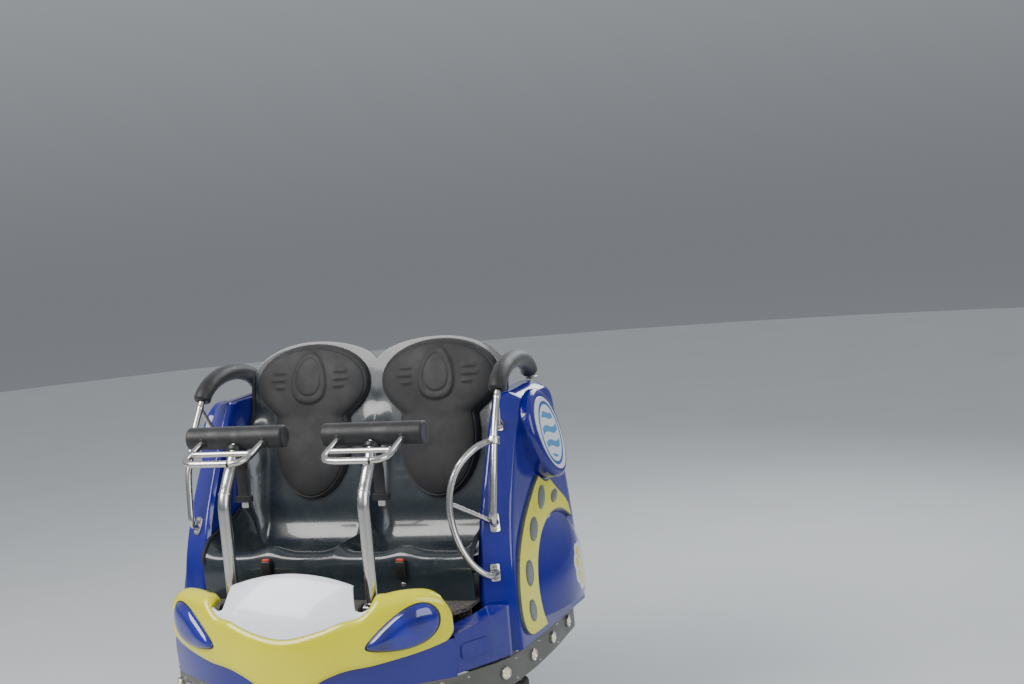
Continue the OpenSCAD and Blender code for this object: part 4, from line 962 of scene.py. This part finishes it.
def badge_place(tree):
    """Distance and angle from the badge's middle, and its two coordinates."""
    flat = put(tree, "UVMap", {"uv_map": "badge"}).outputs[0]
    at = put(tree, "VectorMath", {"operation": "SUBTRACT"}, i0=flat, i1=(0.5, 0.5, 0)).outputs[0]
    xy = put(tree, "SeparateXYZ", Vector=at)
    away = put(tree, "VectorMath", {"operation": "LENGTH"}, i0=at).outputs["Value"]
    return away, maths(tree, "ARCTAN2", xy.outputs[1], xy.outputs[0]), xy.outputs[0], xy.outputs[1]


def printed(tree, shader, layers):
    """Lays masked colours over a gelcoat's own colour, each a mask and a colour."""
    under = shader["Base Color"].links[0].from_socket
    for mask_, ink in layers:
        under = between(tree, mask_, under, ink)
    feed(tree, shader, Base_Color=under)


def open_finish(made):
    """A finish's tree and its shader's inputs."""
    shader = next(n for n in made.node_tree.nodes if n.bl_idname == "ShaderNodeBsdfPrincipled")
    return made.node_tree, shader.inputs


dome_gelcoat = gelcoat("dome_gelcoat", "0d1288", "0a0e74", ripple=0.05, dirt=0.05)
tree, shader = open_finish(dome_gelcoat)
away, angle, px, py = badge_place(tree)
lobes = maths(tree, "ABSOLUTE", maths(tree, "SINE", product(tree, angle, 4.0)))
disc = step(tree, maths(tree, "SUBTRACT", away, scaled(tree, lobes, 0.045, 0.40)), 0.004, -0.004)
petal_edge = step(tree, maths(tree, "SUBTRACT", away, scaled(tree, lobes, 0.05, 0.325)), 0.004, -0.004)
petals = product(tree, petal_edge, step(tree, away, 0.186, 0.194))
gaps = step(tree, lobes, 0.22, 0.3)
ring = product(tree, step(tree, away, 0.156, 0.164), step(tree, away, 0.184, 0.176))
core = step(tree, away, 0.104, 0.096)
printed(tree, shader, [(disc, "dfe2e2"), (product(tree, petals, gaps), "d9c93a"),
                       (ring, "59626b"), (core, "d9c93a")])
ball = (dome_r ** 2 + dome_out ** 2) / (2 * dome_out)
dome_rear = 0.628
turn = np.linspace(0, 2 * np.pi, 181)[:-1]
with np.errstate(divide="ignore"):
    to_low = np.where(np.sin(turn) < 0, (dome_low - dome_mid[1]) / np.sin(turn), 9)
    to_rear = np.where(np.cos(turn) > 0, (dome_rear - dome_mid[0]) / np.cos(turn), 9)
reach = np.minimum(np.minimum(dome_r, to_low), to_rear)
grid = []
# From the edge to the middle: share of the reach, how far the rounded edge is below the ball
dome_rows = [(1, None), (1, 0.006), (0.997, 0.003), (0.99, 0.0008),
             *[(s, 0) for s in np.linspace(0.97, 0.02, 30)]]
for share, drop in dome_rows:
    rho = reach * share
    height = np.sqrt(ball ** 2 - rho ** 2) + dome_out - ball
    lift = np.full_like(rho, -0.001) if drop is None else np.maximum(height - drop, -0.001)
    grid.append(on_side(dome_mid[0] + rho * np.cos(turn), dome_mid[1] + rho * np.sin(turn), lift))
dome = piece("side_dome_pair", both([capped(grid, foot=False)]), [dome_gelcoat],
             angle=50)
side_map(dome, (0.520, 0.590), 0.200)
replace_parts(dome, "side_domes")


# Pods: an egg-shaped puck high on each shield, standing out further below, and on it a white oval plate,
# printed with a plain blue ring round three waves. The plate is a thin moulding let into the pod's face.
def pod_ring(share, inset, extra=0.0):
    """The pod's outline moved in by inset, at a share of its height, which falls off by 8 degrees upward."""
    p = egg(-inset)
    height = pod_out - (p[:, 1] - pod_mid[1]) * math.tan(math.radians(pod_lean))
    return on_side(p[:, 0], p[:, 1], height * share + extra)


pod_section = rounded_profile(
    [(-0.02, 0), (0.7, 0), (0.92, 0.007), (1, 0.018), (1, 0.029), (0.985, 0.030)], 0.12, 4)
pod = piece("side_pod_pair", both([capped([pod_ring(*row) for row in pod_section], foot=False)]),
            [blue_gelcoat],
            angle=50)
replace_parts(pod, "side_pods")
plate_gelcoat = gelcoat("plate_gelcoat", "e6e9ec", "dde1e6", ripple=0.03, rough=0.18)
tree, shader = open_finish(plate_gelcoat)
away, angle, px, py = badge_place(tree)
stretched = put(tree, "CombineXYZ", X=product(tree, px, 1.35), Y=py).outputs[0]
oval = put(tree, "VectorMath", {"operation": "LENGTH"}, i0=stretched).outputs["Value"]
ring = product(tree, step(tree, oval, 0.345, 0.353), step(tree, oval, 0.397, 0.389))
inside = step(tree, oval, 0.302, 0.294)
swell = product(tree, maths(tree, "SINE", product(tree, px, 14.0)), 0.028)
rise = maths(tree, "SINE", product(tree, maths(tree, "ADD", py, swell), 36.0))
waves = step(tree, rise, 0.1, 0.22)
printed(tree, shader, [(ring, "2c62a8"), (product(tree, inside, waves), "4f93c8")])
plate_section = [(0.030, -0.001), (0.030, 0.0018), (0.0304, 0.0026), (0.0314, 0.003), (0.034, 0.003)]
plate = piece("pod_plate_pair", both([capped([pod_ring(1, *row) for row in plate_section], foot=False)]),
              [plate_gelcoat], angle=50)
side_map(plate, pod_mid, 0.300)
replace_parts(plate, "pod_plates")


# Grab rails: polished stainless tube standing on a two-bolt bracket on each shield's front bevel, going up
# into the foam handle that arches over the shield's top and comes down on a round flange behind. A thin
# strut stays the tube against the shield. The foam is a black closed-cell sleeve, 64 mm thick.
def front_at(share, z):
    """The point on the shield's front bevel at a share of its depth and a height, in the body's frame."""
    inset = np.interp(share, shield_bevels[:4, 0] / shield_deep, shield_bevels[:4, 1])
    y = float(smooth_table(np.float64(z), shield_line, 1) + inset)
    return np.array([shield_in + share * (shield_x(y, z) - shield_in), y, z])


def front_out(share, z):
    """The direction out of the front bevel at that point."""
    n = np.cross(front_at(share + 0.05, z) - front_at(share - 0.05, z),
                 front_at(share, z + 0.009) - front_at(share, z - 0.009))
    return n / np.linalg.norm(n)


def handle_at(t):
    """A point on the handle's arch: half an ellipse from front (0) over the top (90) to the rear (180)."""
    a = np.radians(t)
    return np.stack([0.588 - np.asarray(t) / 8000, 0.366 - 0.212 * np.cos(a),
                     shield_top + 0.100 * np.sin(a)], -1)


def in_car(p):
    """Points of the body's own frame in the car's."""
    return np.asarray(p, float) + (0, body_y, 0)


def hex_bolt(centre, axis, d):
    """A washer and a hexagonal head with a chamfered top."""
    r = d / 2
    washer = turned([(0, 0), (1.25 * r, 0), (1.25 * r, 0.1 * d), (0, 0.1 * d)], centre, axis, 24)
    head = [(0, 0.1 * d), (r, 0.1 * d), (r, 0.48 * d), (0.86 * r, 0.58 * d), (0, 0.58 * d)]
    return [washer, turned(head, centre, axis, 6)]


def plate_on(centre, u, v, size, corner=0.008, soft=0.0012):
    """A rectangle with round corners and a softened top edge, standing on centre towards u x v."""
    a, b, h = size[0] / 2, size[1] / 2, size[2]
    t = np.radians(np.arange(0, 360, 10))
    nudged = t + 0.087
    middles = np.stack([np.sign(np.cos(nudged)) * (a - corner), np.sign(np.sin(nudged)) * (b - corner)], -1)
    edge_of = np.stack([np.cos(t), np.sin(t)], -1)
    w = np.cross(u, v)
    rings = []
    for inset, rise in ((0, 0), (0, h - soft), (0.3 * soft, h - 0.3 * soft), (soft, h)):
        flat = middles + (corner - inset) * edge_of
        rings.append(np.asarray(centre) + flat[:, :1] * u + flat[:, 1:] * v + rise * w)
    return capped(rings)


def bracket(share, z, size):
    """The two-bolt bracket: plate, two bolts along the bevel, and the weld round the tube's foot."""
    n = front_out(share, z)
    level = math.hypot(n[0], n[1])
    u = np.array([n[2] * n[0] / level, n[2] * n[1] / level, -level])
    v = np.cross(n, u)
    centre = in_car(front_at(share, z) + 0.0006 * n)
    parts = [plate_on(centre, u, v, size)]
    for side in (-1, 1):
        parts += hex_bolt(centre + side * (size[0] / 2 - 0.011) * u + size[2] * n, n, 0.0125)
    bead = [(0.0135, 0), (0.0155, 0.0015), (0.0148, 0.004), (0.0125, 0.006)]
    parts.append(turned(bead, centre + size[2] * n, n))
    return parts


def unit(v):
    """v at length 1."""
    return np.asarray(v) / np.linalg.norm(v)


rail_low, strut_z, rail_r = 0.868, shield_top - 0.110, 0.012
rail_top = handle_at(12)
rail_bend, rail_knee = np.array([[0.592, 0.086, shield_top - 0.085], [0.597, 0.025, shield_top - 0.230]])
rail_lean = unit(rail_top - rail_bend)
rail_foot = front_at(0.5, rail_low) + 0.004 * front_out(0.5, rail_low)
rail_path = rounded_profile([rail_foot, (0.588, -0.004, rail_low + 0.008), rail_knee, rail_bend, rail_top],
                            0.040, 10)
strut = [rail_top - 0.026 * rail_lean, front_at(0.42, strut_z) + 0.003 * front_out(0.42, strut_z)]
foot_lean = unit(handle_at(165) - handle_at(156))
foot_l = (handle_at(165)[2] - shield_top - 0.004) / -foot_lean[2]
foot = handle_at(165) + foot_l * foot_lean
flange = np.array([handle_at(165)[0], foot[1], shield_top])
flange_profile = [(0, 0), (0.023, 0), (0.023, 0.0065), (0.0215, 0.008), (0.0135, 0.008), (0.0125, 0.0125)]
strut_bead = [rail_top - down * rail_lean for down in (0.034, 0.030, 0.022, 0.018)]
parts = [tube(in_car(rail_path), rail_r), tube(in_car(strut), 0.008, 16),
         *bracket(0.5, rail_low, (0.066, 0.034, 0.007)), *bracket(0.42, strut_z, (0.046, 0.024, 0.005)),
         tube(in_car([handle_at(165), handle_at(165) + 0.5 * foot_l * foot_lean, foot]), rail_r),
         turned(flange_profile, in_car(flange), (0, 0, 1), 36),
         tube(in_car(strut_bead), [0.0122, 0.0134, 0.0134, 0.0122])]
rails = piece("grab_rail_pair", both(parts), [stainless], angle=40)
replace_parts(rails, "grab_rails")

sleeve, tree, shader = finish("foam_sleeve", Specular_IOR_Level=0.45, Sheen_Weight=0.2, Sheen_Roughness=0.45)
pits = put(tree, "TexVoronoi", Vector=place_of(tree), Scale=520.0)
folds = noise(tree, put(tree, "Mapping", Vector=place_of(tree), Scale=(3, 1, 1)).outputs[0], 34, 4, 0.55)
worn = clouds(tree, 21, 6, 0.45, 0.75, 0.65)
feed(tree, shader, Base_Color=between(tree, worn, "1b1b1d", "303032"),
     Roughness=scaled(tree, worn, -0.12, 0.5),
     Normal=relief(tree, pits.outputs["Distance"], 0.3, 0.0006, Normal=relief(tree, folds, 0.3, 0.003)))


def sleeve_tube(path, radius, hole, round_=0.010, sides=40):
    """A foam tube whose ends roll in over a quarter circle and dish in towards the metal tube."""
    path = np.asarray(path, float)
    at = np.concatenate([[0], np.cumsum(np.linalg.norm(np.diff(path, axis=0), axis=1))])
    t = np.linspace(0, np.pi / 2, 7)
    ends = round_ * (1 - np.sin(t))[::-1]
    stops = np.unique(np.concatenate([ends, at[(at > round_) & (at < at[-1] - round_)], at[-1] - ends]))
    dense = np.stack([np.interp(stops, at, path[:, k]) for k in range(3)], -1)
    gap = np.clip(np.minimum(stops, at[-1] - stops) / round_, 0, 1)
    radii = radius - round_ * (1 - np.sqrt(1 - (1 - gap) ** 2))
    points, faces = tube(dense, radii, sides)
    grid = points.reshape(-1, sides, 3)
    for end, inward in ((0, 1), (-1, -1)):
        grid[end] = grid[end + inward] + (grid[end] - grid[end + inward]) * (1 - hole / (radius - round_))
        grid[end] += 0.003 * inward * unit(dense[inward] - dense[0] if end == 0 else dense[-1] - dense[-2])
    return grid.reshape(-1, 3), faces


foam_path = np.concatenate([[rail_top + 0.0003 * rail_lean, rail_top + 0.007 * rail_lean],
                            handle_at(np.arange(24, 157, 4)), [handle_at(165)]])
foam_path = rounded_profile(foam_path, 0.01, 3)
foams = piece("grab_handle_pair", both([sleeve_tube(in_car(foam_path), 0.032, 0.0125)]), [sleeve],
              angle=50)
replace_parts(foams, "grab_foams")

# Side loop: on the right a hoop of the same tube from a split clamp on the rail down to a low bracket,
# with a thinner crossbar welded between the hoop and the rail's bracket. The clamp is pinched by a bolt.
def square_section(inner, outer, low, high, reach=0.002):
    """The profile of a ring between two radii and two heights, its corners bent."""
    return rounded_profile([(inner, low), (outer, low), (outer, high), (inner, high)], reach, 3)


loop_low = 0.706
clamp_mid = rail_knee + 0.62 * (rail_bend - rail_knee)
clamp_lean = unit(rail_bend - rail_knee)
loop_foot = front_at(0.5, loop_low) + 0.006 * front_out(0.5, loop_low)
rail_x = 0.588
loop_path = rounded_profile([
    loop_foot, (rail_x - 0.008, -0.066, loop_low - 0.006), (rail_x - 0.066, -0.094, loop_low + 0.054),
    (rail_x - 0.110, -0.097, loop_low + 0.154), (rail_x - 0.124, -0.090, loop_low + 0.272),
    (rail_x - 0.096, -0.066, loop_low + 0.374), (rail_x - 0.042, -0.008, loop_low + 0.436),
    clamp_mid - (0.018, 0.003, 0)], 1.0, 10)
bar_end = front_at(0.36, rail_low + 0.008) + 0.013 * front_out(0.36, rail_low + 0.008)
crossbar = [(rail_x - 0.124, -0.091, loop_low + 0.262), bar_end]
across = unit(np.cross(clamp_lean, (1, 0, 0)))
lug = clamp_mid - 0.024 * across
side_of = np.cross(clamp_lean, across)
parts = [tube(in_car(loop_path), rail_r), tube(in_car(crossbar), 0.009, 20),
         turned(square_section(0.0123, 0.020, -0.013, 0.013), in_car(clamp_mid), clamp_lean, 40),
         plate_on(in_car(lug - 0.006 * side_of), clamp_lean, across, (0.022, 0.018, 0.012), 0.003),
         *hex_bolt(in_car(lug + 0.006 * side_of), side_of, 0.009),
         *bracket(0.5, loop_low, (0.060, 0.034, 0.007))]
loop = piece("side_loop_hoop", parts, [stainless], angle=40)
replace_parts(loop, "side_loop")


# Lap bars: each a polished stainless post turning on a hinge in the footwell floor, bent back under a
# foam roller, with a welded grip loop ahead of it and a thinner tube across the loop. Black plastic collar
# and grommets where the tubes enter the foam.
lap_y, lap_z, post_top, roller_y, roller_z = -0.325, 0.655, 1.035, -0.185, 1.230
post_r, roller_r, core_half = 0.0215, 0.040, 0.175
# The grip loop: half its width, how far it goes ahead, its bends' radius, where the thinner tube crosses it
grip_half, grip_reach, grip_bend, grip_cross, grip_r, cross_r = 0.118, 0.200, 0.058, 0.126, 0.012, 0.010
dip = math.radians(16)
lean = unit((0, roller_y - lap_y, roller_z - post_top))
plastic = grained("black_plastic", "141416", "252527", 900.0, (0.2, 0.3), (0.15, 0.0003), 0.5)


def grip_point(x, forward):
    """A point of the grip loop's plane, which dips by 16 degrees ahead of the roller."""
    return np.array([x, roller_y - forward * math.cos(dip), roller_z - forward * math.sin(dip)])


def weld(centre, axis, r, size=0.003):
    """A fillet ring round a tube of radius r: a quarter bead with a faint ripple."""
    t = np.linspace(0, 2 * np.pi, 60, endpoint=False)
    u, v, w = basis(axis)
    ripple = 1 + 0.12 * np.sin(20 * t)
    away = np.cos(t)[:, None] * u + np.sin(t)[:, None] * v
    rings = [np.asarray(centre) + ((r + a * size * ripple)[:, None] * away + b * size * w)
             for a, b in ((0.2, -1.2), (0.9, -0.6), (1, 0), (0.9, 0.6), (0.2, 1.2))]
    return surface(np.array(rings), around=True)


for side, seat in (("l", -1), ("r", 1)):
    here = np.array([seat * seat_half, body_y, 0])
    post = rounded_profile([(0, lap_y, lap_z), (0, lap_y, post_top), (0, roller_y, roller_z)], 0.035, 16)
    grip = rounded_profile([grip_point(*row) for row in (
        (grip_half, 0), (grip_half, grip_reach), (-grip_half, grip_reach), (-grip_half, 0))], grip_bend, 12)
    hub = square_section(0.0103, 0.028, -0.030, 0.030)
    core = square_section(0.012, 0.017, -core_half, core_half)
    plug = [(0, -0.170), (0.012, -0.170), (0.012, 0.170), (0, 0.170)]
    bend = here + (0, lap_y, post_top) + 0.024 * lean
    middle = here + (0, roller_y, roller_z)
    steel = [tube(here + post, post_r, 36), tube(here + grip, grip_r),
             turned(hub, here + (0, lap_y, lap_z), (1, 0, 0)), turned(core, middle, (1, 0, 0)),
             turned(plug, middle, (1, 0, 0)),
             tube(here + [grip_point(x, grip_cross) for x in (-grip_half, grip_half)], cross_r, 20,
                  (0, 0.02, 1)),
             weld(bend, lean, post_r, 0.002),
             weld(here + (0, lap_y, lap_z + 0.029), (0, 0, 1), post_r, 0.004),
             *[weld(here + grip_point(x, grip_cross), (1, 0, 0), cross_r, 0.002)
               for x in (grip_r - grip_half, grip_half - grip_r)]]
    bar = piece(f"lap_bar_{side}_tubes", steel, [stainless], body=f"lap_bar_{side}",
                angle=40)
    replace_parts(bar, "lap_bar_left" if seat < 0 else "lap_bar_right")
    end = [(0, 0.1825), (0.015, 0.1832), (0.030, 0.185), (0.0375, 0.1835), (roller_r, 0.179),
           (roller_r, 0.06)]
    profile = [*[(r, -x) for r, x in end], (roller_r, 0), *end[::-1]]
    ahead = unit(grip_point(0, 1) - grip_point(0, 0))
    black = [(*turned(rounded_profile(profile, 0.003, 3), middle, (1, 0, 0), 56), 0)]
    ring = [(0.0125, 0), (0.018, 0), (0.0178, 0.003), (0.0158, 0.0048), (0.0125, 0.005)]
    black += [(*turned(ring, middle + (x, 0, 0) + (roller_r - 0.0015) * ahead, ahead),
               1) for x in (-grip_half, grip_half)]
    collar = square_section(0.0218, 0.030, 0, 0.018, 0.003)
    black.append((*turned(collar, middle - 0.056 * lean, lean, 40), 1))
    roller = piece(f"lap_roller_{side}", black, [sleeve, plastic], body=f"lap_bar_{side}",
                   angle=50)
    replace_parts(roller, "lap_foam_left" if seat < 0 else "lap_foam_right")


# Safety belts: polyester webbing hanging from each roller behind its post, with a black plastic keeper
# and the steel tongue that goes into the buckle on the seat. The loose end is folded back and stitched.
webbing, tree, shader = finish("belt_webbing", Specular_IOR_Level=0.25, Sheen_Weight=0.3, Sheen_Roughness=0.5)
xyz = put(tree, "SeparateXYZ", Vector=place_of(tree))
# the twill's lines run to and fro across the strap, 120 times a metre
there = maths(tree, "FRACT", product(tree, xyz.outputs["Z"], 120.0))
zigzag = maths(tree, "ADD", xyz.outputs["X"], maths(tree, "ABSOLUTE", maths(tree, "SUBTRACT", there, 0.5)))
twill = maths(tree, "SINE", product(tree, zigzag, 3400.0))
threads = maths(tree, "SINE", product(tree, xyz.outputs["Z"], 4200.0))
faded = clouds(tree, 30, 4, 0.4, 0.7)
feed(tree, shader, Base_Color=between(tree, faded, "17171a", "2b2b2e"),
     Roughness=scaled(tree, faded, 0.12, 0.72),
     Normal=relief(tree, scaled(tree, threads, 0.5, twill), 0.5, 0.0006))


def strap(path, half, thick):
    """A flat strap: a stadium section of a half width and thickness carried along a path in the car's
    lengthwise plane."""
    path = np.asarray(path, float)
    heading = np.gradient(path, axis=0)
    heading /= np.linalg.norm(heading, axis=1, keepdims=True)
    normal = np.cross(heading, (1, 0, 0))
    t = np.radians(np.arange(0, 360, 15) + 7.5)
    flat = np.stack([np.sign(np.cos(t)) * (half - thick / 2) + thick / 2 * np.cos(t),
                     thick / 2 * np.sin(t)], -1)
    grid = path[:, None] + flat[None, :, :1] * (1, 0, 0) - flat[None, :, 1:] * normal[:, None]
    return capped(grid[::-1])


right, back, upward = np.eye(3)
belt_half, keeper_z = 0.020, 1.012
for side, seat in (("l", -1), ("r", 1)):
    here = np.array([seat * seat_half, body_y + roller_y, 0])
    hang = here + np.linspace(keeper_z, roller_z - 0.034, 24)[:, None] * upward
    keeper = [plate_on(here + (0, 0, keeper_z), -right, upward, (0.060, 0.024, 0.015), 0.004),
              plate_on(here + (0, 0.0006, keeper_z), right, upward, (0.058, 0.023, 0.001), 0.004)]
    tongue = plate_on(
        here + (0, 0.006, keeper_z - 0.0205), -right, upward, (0.026, 0.023, 0.003), 0.004, 0.0006)
    parts = [(*strap(hang + 0.002 * back, belt_half, 0.0032), 0),
             (*strap(hang[:14] + 0.0052 * back, belt_half, 0.003), 0),
             *[(*k, 1) for k in keeper], (*tongue, 2)]
    belt = piece(f"belt_{side}_strap", parts, [webbing, plastic, stainless], body=f"lap_bar_{side}",
                 angle=50)
    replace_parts(belt, "belt_left" if seat < 0 else "belt_right")

# Buckles: a black moulded case on the front of each seat, with its red release on top and the slot for the
# tongue, and the round head of its bolt below.
release, tree, shader = finish("release_red", Specular_IOR_Level=0.5)
cloudy = clouds(tree, 60, 4, 0.4, 0.65)
feed(tree, shader, Base_Color=between(tree, cloudy, "c2401f", "a63418"),
     Roughness=scaled(tree, noise(tree, place_of(tree), 90, 4), 0.2, 0.28))
case_y, case_top = -0.064, lip_z - 0.012
parts = []
for seat in (-1, 1):
    here = np.array([seat * seat_half, body_y + case_y, 0])
    case = plate_on(here + (0, 0, case_top - 0.0385), right, upward, (0.038, 0.063, 0.022), 0.008, 0.004)
    button = plate_on(
        here + (0, -0.011, case_top - 0.0075), right, back, (0.028, 0.014, 0.0075), 0.004, 0.002)
    bolt = turned([(0, 0), (0.009, 0), (0.009, 0.002), (0.0075, 0.0035), (0, 0.0038)],
                  here + (0, 0, lip_z - 0.105), -back, 30)
    parts += [(*case, 0), (*button, 1), (*bolt, 2)]
buckles = piece("belt_buckle_pair", parts, [plastic, release, stainless], angle=50)
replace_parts(buckles, "belt_buckles")

# Hinge pins of the lap bars: turned stainless pins, their domed heads on both sides of each pair of ears
pin_head = [(0, 0), (0.016, 0), (0.016, 0.003), (0.013, 0.006), (0, 0.0068)]
parts = []
for seat in (-1, 1):
    for out_ in (-1, 1):
        ear = np.array([seat * seat_half + out_ * 0.046, body_y + lap_y, lap_z])
        parts.append(turned(pin_head, ear, (out_, 0, 0), 30))
piece("lap_hinge_pins", parts, [stainless], angle=45)


# The plain floor under the car, a level disc of pale matt paint
studio, tree, shader = finish("studio_floor", Specular_IOR_Level=0.3)
soft = noise(tree, place_of(tree), 1.4, 5)
feed(tree, shader, Base_Color=between(tree, soft, "c9cbcc", "bfc2c4"),
     Roughness=scaled(tree, noise(tree, place_of(tree), 12, 5), 0.2, 0.6))
ground = turned([(14.0, 0), (7, 0), (2, 0), (0, 0)], (0, 0, -0.002), (0, 0, 1), 64)
floor = bpy.data.objects.new("floor", bpy.data.meshes.new("floor"))
floor.data.from_pydata(ground[0].tolist(), [], ground[1])
floor.data.validate()
floor.data.materials.append(studio)
bpy.context.scene.collection.objects.link(floor)


# Studio light: a large soft panel overhead from the left front, a fill on the right, a rim behind
def panel(name, place, at, size, power, tint=(1, 1, 1)):
    """A square light panel at a place, turned to a point."""
    lamp = bpy.data.lights.new(name, "AREA")
    lamp.size, lamp.energy, lamp.color = size, power, tint
    made = bpy.data.objects.new(name, lamp)
    bpy.context.scene.collection.objects.link(made)
    towards = (Vector(at) - Vector(place)).to_track_quat("-Z", "Y")
    made.matrix_world = Matrix.Translation(place) @ towards.to_matrix().to_4x4()


panel("key", (-2.4, -3.2, 4.6), (0, -0.1, 0.8), 3.2, 330, (1.0, 0.98, 0.95))
panel("fill", (4.2, -2.4, 2.6), (0, 0, 0.8), 3.0, 90, (0.93, 0.97, 1.0))
panel("rim", (1.6, 3.8, 3.6), (0, 0, 0.9), 2.6, 120, (0.95, 0.98, 1.0))
world = bpy.data.worlds.new("studio")
world.use_nodes = True
bpy.context.scene.world = world
tree = world.node_tree
sky = tree.nodes["Background"]
sky.inputs["Strength"].default_value = 0.55
height = put(tree, "SeparateXYZ", Vector=put(tree, "TexCoord").outputs["Generated"]).outputs["Z"]
band = step(tree, maths(tree, "ABSOLUTE", maths(tree, "ADD", height, 0.06)), 0.0, 0.38)
feed(tree, sky.inputs, Color=between(tree, band, (0.34, 0.36, 0.39, 1), (0.86, 0.91, 0.97, 1)))

# Camera at the photo's viewing angle: 58 mm on a 36 mm wide sensor
optics = bpy.data.cameras.new("camera")
optics.lens, optics.sensor_width = 58.14, 36
camera = bpy.data.objects.new("camera", optics)
bpy.context.scene.collection.objects.link(camera)
turned_by = Matrix(((0.94131, 0.04633, 0.33433), (0.32618, 0.12980, -0.93635), (-0.08678, 0.99045, 0.10708)))
camera.matrix_world = Matrix.Translation((2.5695, -5.3390, 2.0902)) @ turned_by.to_4x4()
bpy.context.scene.camera = camera
